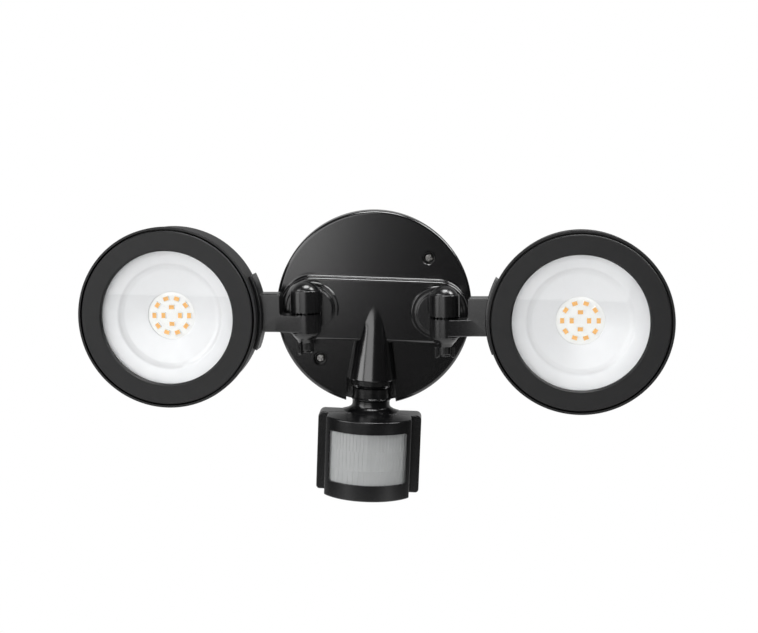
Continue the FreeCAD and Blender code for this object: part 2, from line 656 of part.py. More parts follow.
def head_housing():
    body = cyl_y(BODY_R, RIM_T - LAP, BODY_DEPTH)
    body = round_edges(body, BODY_ROUND, lambda e: lies_at_y(e, BODY_DEPTH))
    rim = cyl_y(RIM_R, 0.5, RIM_T)
    rim = round_edges(rim, 0.6, lambda e: lies_at_y(e, 0.5) or lies_at_y(e, RIM_T))
    fins = []
    for k in range(FIN_COUNT):
        x = (k - (FIN_COUNT - 1) / 2) * FIN_PITCH
        fins.append(box(x - FIN_T / 2, x + FIN_T / 2, BODY_DEPTH - LAP, BODY_DEPTH + FIN_H, -FIN_R, FIN_R))
    round_bar = cyl_y(FIN_R, BODY_DEPTH - 1, BODY_DEPTH + FIN_H)
    fins = [fin.common(round_bar) for fin in fins]
    body = body.multiFuse([rim] + fins)
    hollow = turned_y([(0, -1), (BEZEL_R + GROOVE, -1), (BEZEL_R + GROOVE, BEZEL_T),
                       (REFLECTOR_R + GAP, BEZEL_T), (REFLECTOR_R + GAP, REFLECTOR_SEAT),
                       (CAVITY_R, REFLECTOR_SEAT), (CAVITY_R, CAVITY_DEPTH), (BOARD_R + 1, CAVITY_DEPTH),
                       (BOARD_R + 1, BOARD_FACE + BOARD_T), (0, BOARD_FACE + BOARD_T)])
    cuts = [hollow]
    for x, z in head_screw_spots():
        cuts.append(cyl_y(HEAD_SCREW_R + HOLE_CLEAR, 0, BODY_DEPTH + 1, x, z))
        cuts.append(cyl_y(HEAD_SCREW_R * 2 + HOLE_CLEAR, HEAD_SCREW_SEAT, BODY_DEPTH + 1, x, z))
    arm_y = PIN_Y - OPENING_Y
    for z in (HEAD_DROP - ARM_SCREW_Z, HEAD_DROP + ARM_SCREW_Z):
        cuts.append(cyl_x(ARM_SCREW_R + HOLE_CLEAR, -BODY_R - 1, -CAVITY_R + 1, arm_y, z))
        cuts.append(cyl_x(ARM_HEAD_R + HOLE_CLEAR, -CAVITY_R - ARM_SCREW_SINK, -CAVITY_R + 4, arm_y, z))
    for x in (-BOARD_SCREW_RING, BOARD_SCREW_RING):
        cuts.append(cyl_y(BOARD_SCREW_R, BOARD_FACE, BOARD_FACE + BOARD_T + 6, x))
    return cut_all(body, cuts)


def bezel():
    ring = turned_y([(OPENING_R + 0.9, 0), (BEZEL_R - 0.7, 0), (BEZEL_R, 0.7), (BEZEL_R, BEZEL_T),
                     (LENS_R + GAP, BEZEL_T), (LENS_R + GAP, LENS_SEAT - TINY),
                     (OPENING_R, LENS_SEAT - TINY), (OPENING_R, 0.7)])
    pilots = [cyl_y(HEAD_SCREW_R + RUN, 2.2, BEZEL_T + 1, x, z) for x, z in head_screw_spots()]
    return cut_all(ring, pilots)


def lens():
    disc = cyl_y(LENS_R, LENS_SEAT, LENS_SEAT + LENS_T)
    return round_edges(disc, 0.3, lambda e: lies_at_y(e, LENS_SEAT) or lies_at_y(e, LENS_SEAT + LENS_T))


def lens_gasket():
    return ring_y(LENS_R, GASKET_R, LENS_SEAT + LENS_T, REFLECTOR_SEAT - REFLECTOR_T)


def reflector():
    flange = REFLECTOR_SEAT - REFLECTOR_T
    step = STEP_RING_R
    front = [(REFLECTOR_R, flange), (39.6, flange), (38.9, flange + 0.3), (step + 1.8, 7.5),
             (step + 0.7, 7.9), (step - 0.3, 8.6), (step - 1.6, 9.3), (step - 3.4, 9.9),
             (HOLE_R + 0.3, 12.3), (HOLE_R, 12.5)]
    back = [(HOLE_R, BOARD_FACE), (HOLE_R + 2.0, BOARD_FACE), (step - 2.8, 11.1), (step - 0.6, 10.4),
            (step + 0.9, 9.3), (step + 2.2, 8.8), (39.6, REFLECTOR_SEAT), (REFLECTOR_R, REFLECTOR_SEAT)]
    return turned_y(front + back)


def led_board():
    board = cyl_y(BOARD_R, BOARD_FACE, BOARD_FACE + BOARD_T)
    cuts = []
    for x in (-BOARD_SCREW_RING, BOARD_SCREW_RING):
        cuts.append(cyl_y(BOARD_SCREW_R + HOLE_CLEAR, BOARD_FACE - 1, BOARD_FACE + BOARD_T + 1, x))
        cuts.append(cyl_y(2.3, BOARD_FACE - 1, BOARD_FACE + 1.1, x))
    return cut_all(board, cuts)


def led_chips():
    chips = []
    for count, ring in ((OUTER_CHIPS, OUTER_RING), (INNER_CHIPS, INNER_RING)):
        chip = box(ring - CHIP_W / 2, ring + CHIP_W / 2, BOARD_FACE - CHIP_T, BOARD_FACE,
                   -CHIP_L / 2, CHIP_L / 2)
        window = box(ring - CHIP_W / 2 + 0.35, ring + CHIP_W / 2 - 0.35, BOARD_FACE - CHIP_T - 1,
                     BOARD_FACE - CHIP_T + 0.15, -CHIP_L / 2 + 0.45, CHIP_L / 2 - 0.45)
        chips += around(chip.cut(window), V(0, 0, 0), V(0, 1, 0), count)
    return Part.makeCompound(chips)


def board_screws():
    screws = []
    for x in (-BOARD_SCREW_RING, BOARD_SCREW_RING):
        seat = BOARD_FACE + 1.1
        head = cyl_y(2.1, seat - 1.0, seat, x).cut(cross_slot_y(2.1, 0.5, seat - 1.0, x, 0.0))
        screws.append(head.fuse(cyl_y(BOARD_SCREW_R - RUN, seat - 0.1, BOARD_FACE + BOARD_T + 5.5, x)))
    return Part.makeCompound(screws)


def bezel_screws():
    screws = []
    for x, z in head_screw_spots():
        head = cyl_y(HEAD_SCREW_R * 2, HEAD_SCREW_SEAT, HEAD_SCREW_SEAT + 1.7, x, z)
        flat = box(x - 2.0, x + 2.0, HEAD_SCREW_SEAT + 0.9, HEAD_SCREW_SEAT + 3, z - 0.35, z + 0.35)
        tall = box(x - 0.35, x + 0.35, HEAD_SCREW_SEAT + 0.9, HEAD_SCREW_SEAT + 3, z - 2.0, z + 2.0)
        shank = cyl_y(HEAD_SCREW_R, 2.6, HEAD_SCREW_SEAT + 0.1, x, z)
        screws.append(head.fuse(shank).cut(flat).cut(tall))
    return Part.makeCompound(screws)


# ---------------------------------------------------------------- sensor group
FRONT_Y = SENSOR_REAR - SENSOR_DEPTH
WING_Y = SENSOR_REAR - WING_FRONT
ARC_Y = FRONT_Y + FRONT_R
SEAM_Y = WING_Y + 2.0
WINDOW_BACK_Y = WING_Y - 10.0
BOARD_Y = WING_Y - 2.6
PIVOT = V(0, STEM_Y, BALL_Z)


def sensor_ball():
    ball = Part.makeSphere(BALL_R, PIVOT)
    half = TONGUE_T / 2 + GAP
    slot = box(-half, half, STEM_Y - BALL_R - 1, STEM_Y + BALL_R + 1,
               BALL_Z - BALL_R - 1, BALL_Z + SLOT_TOP)
    return ball.cut(slot).cut(cyl_x(PIVOT_R + RUN, -BALL_R, BALL_R, STEM_Y, BALL_Z))


def pivot_pin():
    return cyl_x(PIVOT_R, -BALL_R + 0.6, BALL_R - 0.6, STEM_Y, BALL_Z)


def sensor_plan(inset, z_from, z_to):
    """Plan of the front bulge, pulled in by a wall thickness."""
    half = FRONT_HALF - inset
    radius = FRONT_R - inset
    block = box(-half, half, FRONT_Y - 1, WING_Y, z_from, z_to)
    return block.common(cyl_z(radius, z_from, z_to, 0.0, ARC_Y))


def sensor_neck():
    z_top = BALL_Z - NECK_DROP
    foot = SENSOR_TOP - LAP
    core = NECK_R - LAP
    neck = turned_z([(0, z_top), (NECK_R, z_top), (NECK_R, BEAD_Z + 0.8), (NECK_BEAD_R, BEAD_Z + 0.5),
                     (NECK_BEAD_R, BEAD_Z - 0.6), (NECK_R, BEAD_Z - 0.9), (NECK_R, SENSOR_TOP + 3.6),
                     (NECK_R + 0.8, SENSOR_TOP + 2.2), (FLARE_R - 2.4, SENSOR_TOP + 0.9),
                     (FLARE_R, SENSOR_TOP), (core, SENSOR_TOP), (core, foot), (0, foot)], 0.0, STEM_Y)
    neck = neck.cut(Part.makeSphere(NECK_CUP_R, PIVOT))
    allowed = box(-SENSOR_HALF, SENSOR_HALF, FRONT_Y, SENSOR_REAR, foot - 1, z_top + 1)
    allowed = allowed.fuse(cyl_z(SPINE_R, foot - 1, z_top + 1, 0.0, STEM_Y))
    neck = neck.common(allowed)
    tongue = cyl_x(TONGUE_R, -TONGUE_T / 2, TONGUE_T / 2, STEM_Y, BALL_Z)
    blade = box(-TONGUE_T / 2, TONGUE_T / 2, STEM_Y - WAIST_R, STEM_Y + WAIST_R, BEAD_Z, BALL_Z)
    spread = cyl_z(WAIST_R, BEAD_Z, BALL_Z - BALL_R - LAP, 0.0, STEM_Y)
    hole = cyl_x(PIVOT_R + RUN, -TONGUE_T, TONGUE_T, STEM_Y, BALL_Z)
    return neck.multiFuse([tongue, blade, spread]).cut(hole)


def sensor_spine(inset, z_top):
    """Round ridge down the back of the sensor, under its neck."""
    radius, tip = SPINE_R - inset, SPINE_TIP_R - inset
    bend, end = SENSOR_TOP - SPINE_BEND + inset / 2, SENSOR_TOP - SPINE_LENGTH + inset
    return turned_z([(0, z_top), (radius, z_top), (radius, bend), (tip, end), (0, end)], 0.0, STEM_Y)


def sensor_housing():
    body_space = box(-SENSOR_HALF, SENSOR_HALF, WING_Y, STEM_Y + SPINE_R, SENSOR_BOTTOM, SENSOR_TOP)
    body = box(-SENSOR_HALF, SENSOR_HALF, WING_Y, SENSOR_REAR, SENSOR_BOTTOM, SENSOR_TOP)
    body = round_edges(body, SENSOR_CORNER, lambda e: e.BoundBox.YLength > WING_FRONT / 2)
    body = round_edges(body, SENSOR_EDGE, lambda e: lies_at_y(e, SENSOR_REAR))
    spine = sensor_spine(0.0, SENSOR_TOP).common(body_space)
    wall = REAR_WALL
    low, high = SENSOR_BOTTOM + wall, SENSOR_TOP - wall
    mouth = FRONT_HALF - SHELL_WALL
    room = box(-mouth, mouth, WING_Y - 1, SENSOR_REAR - wall, low, high)
    wings = box(-SENSOR_HALF + wall, SENSOR_HALF - wall, WING_Y + wall, SENSOR_REAR - wall, low, high)
    posts = [cyl_y(REAR_POST_R, SEAM_Y, SENSOR_REAR - 1, x, z) for x, z in sensor_screw_spots()]
    body = body.fuse(spine).cut(room.multiFuse([wings, sensor_spine(wall, high)]))
    body = body.multiFuse([sensor_neck()] + posts)
    cuts = []
    for x, z in sensor_screw_spots():
        cuts.append(cyl_y(CASE_SCREW_R + HOLE_CLEAR, WING_Y - 1, SENSOR_REAR + 1, x, z))
        cuts.append(cyl_y(CASE_HEAD_R + HOLE_CLEAR, SENSOR_REAR - CASE_SINK, SENSOR_REAR + 1, x, z))
    return cut_all(body, cuts)


def sensor_screw_spots():
    levels = (SENSOR_TOP - CASE_SCREW_IN, SENSOR_BOTTOM + CASE_SCREW_IN)
    return [(side * CASE_SCREW_X, z) for side in (-1, 1) for z in levels]


def sensor_front():
    shell = sensor_plan(0.0, SENSOR_BOTTOM, SENSOR_TOP)
    shell = round_edges(shell, FRONT_EDGE, lambda e: e.BoundBox.ZLength < 0.01 and e.BoundBox.YMax < WING_Y)
    shell = shell.cut(sensor_plan(SHELL_WALL, SENSOR_BOTTOM + SHELL_WALL, SENSOR_TOP - SHELL_WALL))
    lip_in = SHELL_WALL * 2
    lip = box(-FRONT_HALF + SHELL_WALL + TINY, FRONT_HALF - SHELL_WALL - TINY, WING_Y - 2, SEAM_Y,
              SENSOR_BOTTOM + REAR_WALL + TINY, SENSOR_TOP - REAR_WALL - TINY)
    lip = lip.cut(box(-FRONT_HALF + lip_in, FRONT_HALF - lip_in, WING_Y - 3, SEAM_Y + 1,
                      SENSOR_BOTTOM + lip_in, SENSOR_TOP - lip_in))
    post_front = WING_Y - FRONT_POST_L
    posts = [cyl_y(FRONT_POST_R, post_front, SEAM_Y, x, z) for x, z in sensor_screw_spots()]
    bars = []
    for x, z in sensor_screw_spots():
        upper = z > (SENSOR_TOP + SENSOR_BOTTOM) / 2
        low, high = sorted((z, SENSOR_TOP - 1 if upper else SENSOR_BOTTOM + 1))
        bars.append(box(x - FRONT_POST_R, x + FRONT_POST_R, post_front, WING_Y, low, high))
    shell = shell.multiFuse([lip] + posts + bars)
    window = box(-WINDOW_HALF, WINDOW_HALF, FRONT_Y - 1, WINDOW_BACK_Y, WINDOW_BOTTOM, WINDOW_TOP)
    window = round_edges(window, WINDOW_CORNER, lambda e: e.BoundBox.YLength > 1)
    cuts = [window]
    for x, z in sensor_screw_spots():
        cuts.append(cyl_y(CASE_SCREW_R, post_front + 1, SEAM_Y + 1, x, z))
    for x in (-DIAL_X, DIAL_X):
        cuts.append(cyl_z(DIAL_R + RUN, SENSOR_BOTTOM - 1, SENSOR_BOTTOM + SHELL_WALL + 1, x, DIAL_Y))
    return cut_all(shell, cuts)


def fresnel_lens():
    top, bottom = WINDOW_TOP + PIR_LENS_LAP, WINDOW_BOTTOM - PIR_LENS_LAP
    outer = FRONT_R - SHELL_WALL - TINY
    sheet = ring_z(outer, outer - PIR_LENS_T, bottom, top, 0.0, ARC_Y)
    half = FRONT_HALF - SHELL_WALL - TINY
    return sheet.common(box(-half, half, FRONT_Y, WINDOW_BACK_Y, bottom, top))


def sensor_pcb():
    board = box(-21.5, 21.5, BOARD_Y, BOARD_Y + 1.6, SENSOR_BOTTOM + 9.0, SENSOR_TOP - 9.0)
    tongues = box(-15.0, 15.0, BOARD_Y, BOARD_Y + 1.6, SENSOR_BOTTOM + 4.0, SENSOR_TOP - 4.0)
    pots = []
    for x in (-DIAL_X, DIAL_X):
        pot = box(x - 4.8, x + 4.8, DIAL_Y - 4.6, BOARD_Y, SENSOR_BOTTOM + 5.0, SENSOR_BOTTOM + 9.5)
        pots.append(pot)
    body = board.multiFuse([tongues] + pots)
    shafts = [cyl_z(1.5 + RUN, SENSOR_BOTTOM, SENSOR_BOTTOM + 10.0, x, DIAL_Y) for x in (-DIAL_X, DIAL_X)]
    return cut_all(body, shafts)


def pir_element():
    spot = (0.0, (WINDOW_TOP + WINDOW_BOTTOM) / 2)
    base = cyl_y(4.6, BOARD_Y - 1.0, BOARD_Y, *spot)
    can = cyl_y(4.1, BOARD_Y - 4.2, BOARD_Y - 0.5, *spot)
    can = round_edges(can, 0.5, lambda e: lies_at_y(e, BOARD_Y - 4.2))
    window = box(-2.0, 2.0, BOARD_Y - 5.0, BOARD_Y - 4.0, spot[1] - 1.5, spot[1] + 1.5)
    return base.fuse(can).cut(window)


def photocell():
    cell = cyl_y(2.6, BOARD_Y - 2.0, BOARD_Y, 15.0, WINDOW_TOP - 6.0)
    return round_edges(cell, 0.4, lambda e: lies_at_y(e, BOARD_Y - 2.0))


def dial(x):
    top = SENSOR_BOTTOM + SHELL_WALL + 0.8
    knob = cyl_z(DIAL_R, top - DIAL_T, top, x, DIAL_Y)
    knob = round_edges(knob, 0.4, lambda e: lies_at_z(e, top - DIAL_T))
    slot = box(x - 2.9, x + 2.9, DIAL_Y - 0.5, DIAL_Y + 0.5, top - DIAL_T - 1, top - DIAL_T + 1.2)
    pointer = box(x + 1.6, x + 2.9, DIAL_Y - 1.1, DIAL_Y + 1.1, top - DIAL_T - 1, top - DIAL_T + 0.5)
    shaft = cyl_z(1.5, top - 0.1, SENSOR_BOTTOM + 9.0, x, DIAL_Y)
    return knob.cut(slot).cut(pointer).fuse(shaft)


def sensor_screws():
    screws = []
    for x, z in sensor_screw_spots():
        seat = SENSOR_REAR - CASE_SINK
        head = cyl_y(CASE_HEAD_R, seat, seat + 1.5, x, z)
        slot = box(x - 1.6, x + 1.6, seat + 0.8, seat + 2, z - 0.3, z + 0.3)
        tall = box(x - 0.3, x + 0.3, seat + 0.8, seat + 2, z - 1.6, z + 1.6)
        shank = cyl_y(CASE_SCREW_R - RUN, WING_Y - FRONT_POST_L + 1.5, seat + 0.1, x, z)
        screws.append(head.fuse(shank).cut(slot).cut(tall))
    return Part.makeCompound(screws)


# ---------------------------------------------------------------- placing and writing
def on_side(shape, side):
    """Right-hand shape, mirrored for the left side."""
    return shape if side == "right" else shape.mirror(V(0, 0, 0), V(1, 0, 0))


def rolled(shape, side):
    centre = V(COLLAR_X if side == "right" else -COLLAR_X, 0, 0)
    return turned_copy(shape, centre, V(0, 1, 0), REST_ROLL[side])


def aimed(shape, side, degrees):
    """Turned about the hinge bolt, then with its swivel."""
    centre = V(PIN_X if side == "right" else -PIN_X, PIN_Y, 0)
    return rolled(turned_copy(shape, centre, V(0, 0, 1), degrees), side)


def in_head(shape):
    shape.translate(V(HEAD_X, OPENING_Y, -HEAD_DROP))
    return shape


def panned(shape):
    return turned_copy(shape, V(0, STEM_Y, 0), V(0, 0, 1), REST_PAN)


def write(name, shape):
    os.makedirs("parts", exist_ok=True)
    shape.exportStep("parts/" + name + ".step")


def write_canopy():
    makers = (canopy_housing, wall_gasket, mounting_plate, ground_screw, canopy_screws, socket_ring,
              driver_pcb, driver_transformer, driver_capacitors, driver_relay, driver_screws)
    for maker in makers:
        write(maker.__name__, maker())


def write_sides():
    swivels = {maker.__name__: maker() for maker in (swivel, swivel_washer, swivel_nut, hinge_bolt)}
    arms = {maker.__name__: maker() for maker in (cup_washer, arm, arm_screws)}
    heads = (head_housing, bezel, lens, lens_gasket, reflector, led_board, led_chips, board_screws,
             bezel_screws)
    arms.update({maker.__name__: in_head(maker()) for maker in heads})
    for side in ("left", "right"):
        write(side + "_swivel_seal", on_side(swivel_seal(), side))
        for name, shape in swivels.items():
            write(side + "_" + name, rolled(on_side(shape, side), side))
        for name, shape in arms.items():
            write(side + "_" + name, aimed(on_side(shape, side), side, REST_YAW[side]))
        write(side + "_wing_nut", aimed(on_side(wing_nut(), side), side, REST_WING[side]))


def write_sensor():
    makers = (sensor_ball, pivot_pin, sensor_housing, sensor_front, fresnel_lens, sensor_pcb, pir_element,
              photocell, sensor_screws)
    for maker in makers:
        write(maker.__name__, panned(maker()))
    write("time_dial", panned(dial(-DIAL_X)))
    write("range_dial", panned(dial(DIAL_X)))


write_canopy()
write_sides()
write_sensor()
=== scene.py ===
# %% [markdown]
# # A motion sensor security light, dressed for its portrait
#
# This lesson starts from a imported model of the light: every piece is already there at its true size,
# sorted into bodies that turn on each other. That model is the frame. It decides where everything is, and
# it is never moved. What is left is the look: the soft edges of castings, the ribs of the sensor lens, and
# finishes that answer light as satin paint, powder coat, clear cover and milky plastic do.

# %% Load the frame
import json
from math import acos, asin, atan2, cos, hypot, pi, radians, sin, sqrt, tan

import bmesh
import bpy
from mathutils import Matrix, Vector


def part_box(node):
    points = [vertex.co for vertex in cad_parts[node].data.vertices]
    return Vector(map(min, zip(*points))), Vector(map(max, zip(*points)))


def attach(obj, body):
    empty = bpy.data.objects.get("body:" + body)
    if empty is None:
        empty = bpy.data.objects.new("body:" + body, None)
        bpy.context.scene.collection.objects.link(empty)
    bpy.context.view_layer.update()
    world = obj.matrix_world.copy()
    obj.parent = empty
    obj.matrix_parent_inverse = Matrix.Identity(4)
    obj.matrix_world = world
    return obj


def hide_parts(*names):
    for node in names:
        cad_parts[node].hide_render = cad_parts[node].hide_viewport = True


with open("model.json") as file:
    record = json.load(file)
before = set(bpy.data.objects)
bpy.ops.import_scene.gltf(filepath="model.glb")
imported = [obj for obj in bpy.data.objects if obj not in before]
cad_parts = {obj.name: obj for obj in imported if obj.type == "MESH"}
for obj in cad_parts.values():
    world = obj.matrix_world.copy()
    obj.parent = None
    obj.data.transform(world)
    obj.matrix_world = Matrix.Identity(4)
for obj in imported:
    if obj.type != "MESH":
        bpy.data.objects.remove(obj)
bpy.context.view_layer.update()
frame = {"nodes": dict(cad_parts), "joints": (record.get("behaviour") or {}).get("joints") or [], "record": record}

# %% [markdown]
# ## The camera first
#
# A likeness is judged through one lens, so the camera comes before any modelling. The light was seen
# almost straight on, from a little above, and the picture was tipped by a degree or two. The numbers come
# from fitting the circles of both heads and of the canopy; a longer lens further away would flatten the
# arms, and a shorter one would swell them.

# %% Camera
MM = 0.001
PICTURE_W = 758
AZIMUTH, ELEVATION, TIP = (radians(a) for a in (-1.351, 7.608, 2.137))
DISTANCE, FOCAL_PIXELS = 820.3 * MM, 1343.4
SLIDE_RIGHT, SLIDE_UP = 3.03 * MM, -6.92 * MM

towards_eye = Vector((sin(AZIMUTH) * cos(ELEVATION), -cos(AZIMUTH) * cos(ELEVATION),
                      sin(ELEVATION)))
level_right = Vector((0, 0, 1)).cross(towards_eye).normalized()
level_up = towards_eye.cross(level_right)
right = level_right * cos(TIP) + level_up * sin(TIP)
up = level_up * cos(TIP) - level_right * sin(TIP)


def added(name, data):
    """A new object of this data, placed in the scene."""
    obj = bpy.data.objects.new(name, data)
    bpy.context.scene.collection.objects.link(obj)
    return obj


camera = added("camera", bpy.data.cameras.new("camera"))
camera.matrix_world = Matrix((right, up, towards_eye)).transposed().to_4x4()
camera.location = towards_eye * DISTANCE + right * SLIDE_RIGHT + up * SLIDE_UP
camera.data.sensor_width = 36.0
camera.data.lens = FOCAL_PIXELS / PICTURE_W * camera.data.sensor_width
camera.data.clip_start = 0.05
bpy.context.scene.camera = camera
print("lens:", round(camera.data.lens, 1), "mm")

# %% [markdown]
# ## A white room with soft boxes
#
# Black paint has almost no colour of its own: what you see on it is the room. Large soft boxes make broad
# sheens with soft ends, and small lamps would make hard dots. The room is dim in front and has a white
# backdrop behind the light, so flat faces stay black while edges that lean away turn lighter. The
# background is white to the camera and to glass. Mirror rays that run towards the backdrop see it too,
# toned down to a grey, because at a grazing angle even black paint mirrors nearly everything. Rays that
# only gather light find the dim room.

# %% Helpers for nodes
def put(node, **values):
    """Sets sockets by their names, with an underscore where a name has a space."""
    for socket, value in values.items():
        node.inputs[socket.replace("_", " ")].default_value = value


def maths(nodes, links, operation, *inputs):
    node = nodes.new("ShaderNodeMath")
    node.operation = operation
    for socket, value in zip(node.inputs, inputs):
        if isinstance(value, (int, float)):
            socket.default_value = value
        else:
            links.new(value, socket)
    return node.outputs[0]


def seen_as_white(nodes, links, mirrored=1.0):
    """One for rays that should see the background itself, nought for rays that only gather light."""
    path = nodes.new("ShaderNodeLightPath")
    clear = maths(nodes, links, "MAXIMUM", path.outputs["Is Camera Ray"], path.outputs["Is Transmission Ray"])
    glossy = maths(nodes, links, "MULTIPLY", path.outputs["Is Glossy Ray"], mirrored)
    return maths(nodes, links, "MAXIMUM", clear, glossy)


# %% Background
SOFT_LEVEL = 0.05
MIRRORED_BACKDROP = 0.4
BACKDROP_STARTS, BACKDROP_FULL = 0.15, 0.65

bpy.context.scene.view_settings.view_transform = "Standard"
world = bpy.data.worlds.new("white_room")
bpy.context.scene.world = world
world.use_nodes = True
sky_nodes, sky_links = world.node_tree.nodes, world.node_tree.links
sky = sky_nodes["Background"]
put(sky, Color=(1, 1, 1, 1))
strength = sky_nodes.new("ShaderNodeMapRange")
put(strength, To_Min=SOFT_LEVEL, To_Max=1.0)
direction = sky_nodes.new("ShaderNodeSeparateXYZ")
sky_links.new(sky_nodes.new("ShaderNodeTexCoord").outputs["Generated"], direction.inputs[0])
backdrop = sky_nodes.new("ShaderNodeMapRange")
backdrop.interpolation_type = "SMOOTHSTEP"
put(backdrop, From_Min=BACKDROP_STARTS, From_Max=BACKDROP_FULL, To_Max=MIRRORED_BACKDROP)
sky_links.new(direction.outputs["Y"], backdrop.inputs["Value"])
sky_links.new(seen_as_white(sky_nodes, sky_links, backdrop.outputs["Result"]), strength.inputs["Value"])
sky_links.new(strength.outputs["Result"], sky.inputs["Strength"])
print("room", SOFT_LEVEL, "and backdrop", MIRRORED_BACKDROP, "to mirror rays")

# %% Floor
FLOOR_DROP = 0.45
FLOOR_REACH = 1.1

floor_mesh = bpy.data.meshes.new("studio_floor")
floor_mesh.from_pydata([(x * FLOOR_REACH, y * FLOOR_REACH, -FLOOR_DROP) for x, y in
                        ((-1, -1), (1, -1), (1, 1), (-1, 1))], [], [(0, 1, 2, 3)])
studio_floor = added("studio_floor", floor_mesh)
pale = bpy.data.materials.new("pale_floor")
pale.use_nodes = True
nodes, links = pale.node_tree.nodes, pale.node_tree.links
paint = nodes["Principled BSDF"]
put(paint, Base_Color=(0.60, 0.60, 0.60, 1), Roughness=0.9)
glow = nodes.new("ShaderNodeEmission")
mix = nodes.new("ShaderNodeMixShader")
links.new(seen_as_white(nodes, links), mix.inputs["Fac"])
links.new(paint.outputs[0], mix.inputs[1])
links.new(glow.outputs[0], mix.inputs[2])
links.new(mix.outputs[0], nodes["Material Output"].inputs["Surface"])
floor_mesh.materials.append(pale)
print("floor", FLOOR_DROP, "m below the light")

# %% [markdown]
# ## Soft boxes
#
# On a black surface a lamp shows as its own mirror image, so each box is placed by what it should draw.
# The front box ends just where the canopy's flat face begins to mirror it, which gives the sheen that
# fades from upper left to right. The side box draws the upright stripes on the knuckles and the stem. Two
# small bright ones, above and to the upper right, draw the thin line on the canopy's rim.

# %% Soft boxes
AIM = Vector((0.0, -0.03, -0.01))


def soft_box(name, azimuth, elevation, distance, across, tall, glow):
    """A rectangular lamp that looks at the object from a compass direction; nought degrees is the front.

    across and tall are the angles it spans as the object sees it, and glow is how bright its face is."""
    a, e = radians(azimuth), radians(elevation)
    away = Vector((sin(a) * cos(e), -cos(a) * cos(e), sin(e)))
    lamp = bpy.data.lights.new(name, "AREA")
    lamp.shape = "RECTANGLE"
    lamp.size, lamp.size_y = (2 * distance * tan(radians(angle / 2)) for angle in (across, tall))
    lamp.energy = glow * pi * lamp.size * lamp.size_y
    holder = added(name, lamp)
    holder.location = AIM + away * distance
    holder.rotation_euler = away.to_track_quat("Z", "Y").to_euler()
    print(name, f"{lamp.size:.2f} x {lamp.size_y:.2f} m, {lamp.energy:.0f} W")


soft_box("front_box", -20, 11, 2.0, 38, 36, 2.25)
soft_box("side_box", -60, 16, 2.0, 30, 48, 3.3)
soft_box("rim_box", 15, 80, 1.5, 30, 20, 12)
soft_box("corner_box", 76, 46, 1.5, 18, 30, 13)

# %% [markdown]
# ## Finishes
#
# Each finish is built from nodes, with no pictures. Every one has a second, finer story under its colour:
# the orange peel of sprayed paint, the grit of powder coat, the drawn lines on zinc. Noise is laid out in
# metres, so a grain of a quarter millimetre is a quarter millimetre on every piece.

# %% A helper for finishes
def noise(nodes, links, place, scale, detail=3.0, rough=0.5):
    texture = nodes.new("ShaderNodeTexNoise")
    put(texture, Scale=scale, Detail=detail, Roughness=rough)
    links.new(place, texture.inputs["Vector"])
    return texture.outputs["Fac"]


def finish(name, dark, light, roughness, grain, peel=None, patch=160.0, stretch=(1, 1, 1), **fixed):
    """A surface finish.

    dark, light: the two shades that large soft patches drift between
    roughness:   lowest and highest, drifting with the grain
    grain:       (scale per metre, height in metres) of the fine surface texture
    peel:        the same for a second, broader waviness
    patch:       scale per metre of the patches
    stretch:     how the noise is scaled along x, y and z
    fixed:       sockets of the shader that get one even value
    """
    material = bpy.data.materials.new(name)
    material.use_nodes = True
    nodes, links = material.node_tree.nodes, material.node_tree.links
    shader = nodes["Principled BSDF"]
    where = nodes.new("ShaderNodeTexCoord")
    mapping = nodes.new("ShaderNodeMapping")
    put(mapping, Scale=stretch)
    links.new(where.outputs["Object"], mapping.inputs["Vector"])
    place = mapping.outputs["Vector"]

    shade = nodes.new("ShaderNodeMix")
    shade.data_type = "RGBA"
    shade.inputs[6].default_value = (*dark, 1)
    shade.inputs[7].default_value = (*light, 1)
    links.new(noise(nodes, links, place, patch), shade.inputs["Factor"])
    links.new(shade.outputs[2], shader.inputs["Base Color"])

    fine = noise(nodes, links, place, grain[0], 4.0, 0.6)
    spread = nodes.new("ShaderNodeMapRange")
    put(spread, From_Min=0.3, From_Max=0.7, To_Min=roughness[0], To_Max=roughness[1])
    links.new(fine, spread.inputs["Value"])
    links.new(spread.outputs["Result"], shader.inputs["Roughness"])

    bump = nodes.new("ShaderNodeBump")
    put(bump, Strength=1.0, Distance=grain[1])
    links.new(fine, bump.inputs["Height"])
    if peel:
        wave = nodes.new("ShaderNodeBump")
        put(wave, Strength=1.0, Distance=peel[1])
        links.new(noise(nodes, links, place, peel[0], 1.0), wave.inputs["Height"])
        links.new(wave.outputs["Normal"], bump.inputs["Normal"])
    links.new(bump.outputs["Normal"], shader.inputs["Normal"])
    put(shader, **fixed)
    return material


# %% The finishes of the outside
FINISH = {}


def grey(level):
    return (level, level, level)


FINISH["canopy_plastic"] = finish(
    "satin_black_paint", (0.003, 0.003, 0.0033), (0.005, 0.005, 0.0055), (0.15, 0.20), (2600, 3e-6),
    peel=(420, 1.5e-6), Specular_IOR_Level=0.95)
FINISH["knuckle_metal"] = finish(
    "satin_black_casting", (0.003, 0.003, 0.0033), (0.006, 0.006, 0.0065), (0.21, 0.28), (3000, 4e-6),
    peel=(520, 4e-6), Specular_IOR_Level=0.80)
FINISH["head_coat"] = finish(
    "powder_coat", (0.007, 0.007, 0.0075), (0.011, 0.011, 0.0115), (0.42, 0.50), (3800, 6e-5),
    peel=(1500, 3e-5), Specular_IOR_Level=0.40)
FINISH["sensor_plastic"] = finish(
    "moulded_black", (0.003, 0.003, 0.0033), (0.005, 0.005, 0.0055), (0.18, 0.24), (2400, 2e-6),
    peel=(300, 2e-6), Specular_IOR_Level=0.65)
FINISH["ball_nylon"] = finish(
    "black_nylon", grey(0.005), grey(0.009), (0.45, 0.55), (3200, 8e-6))
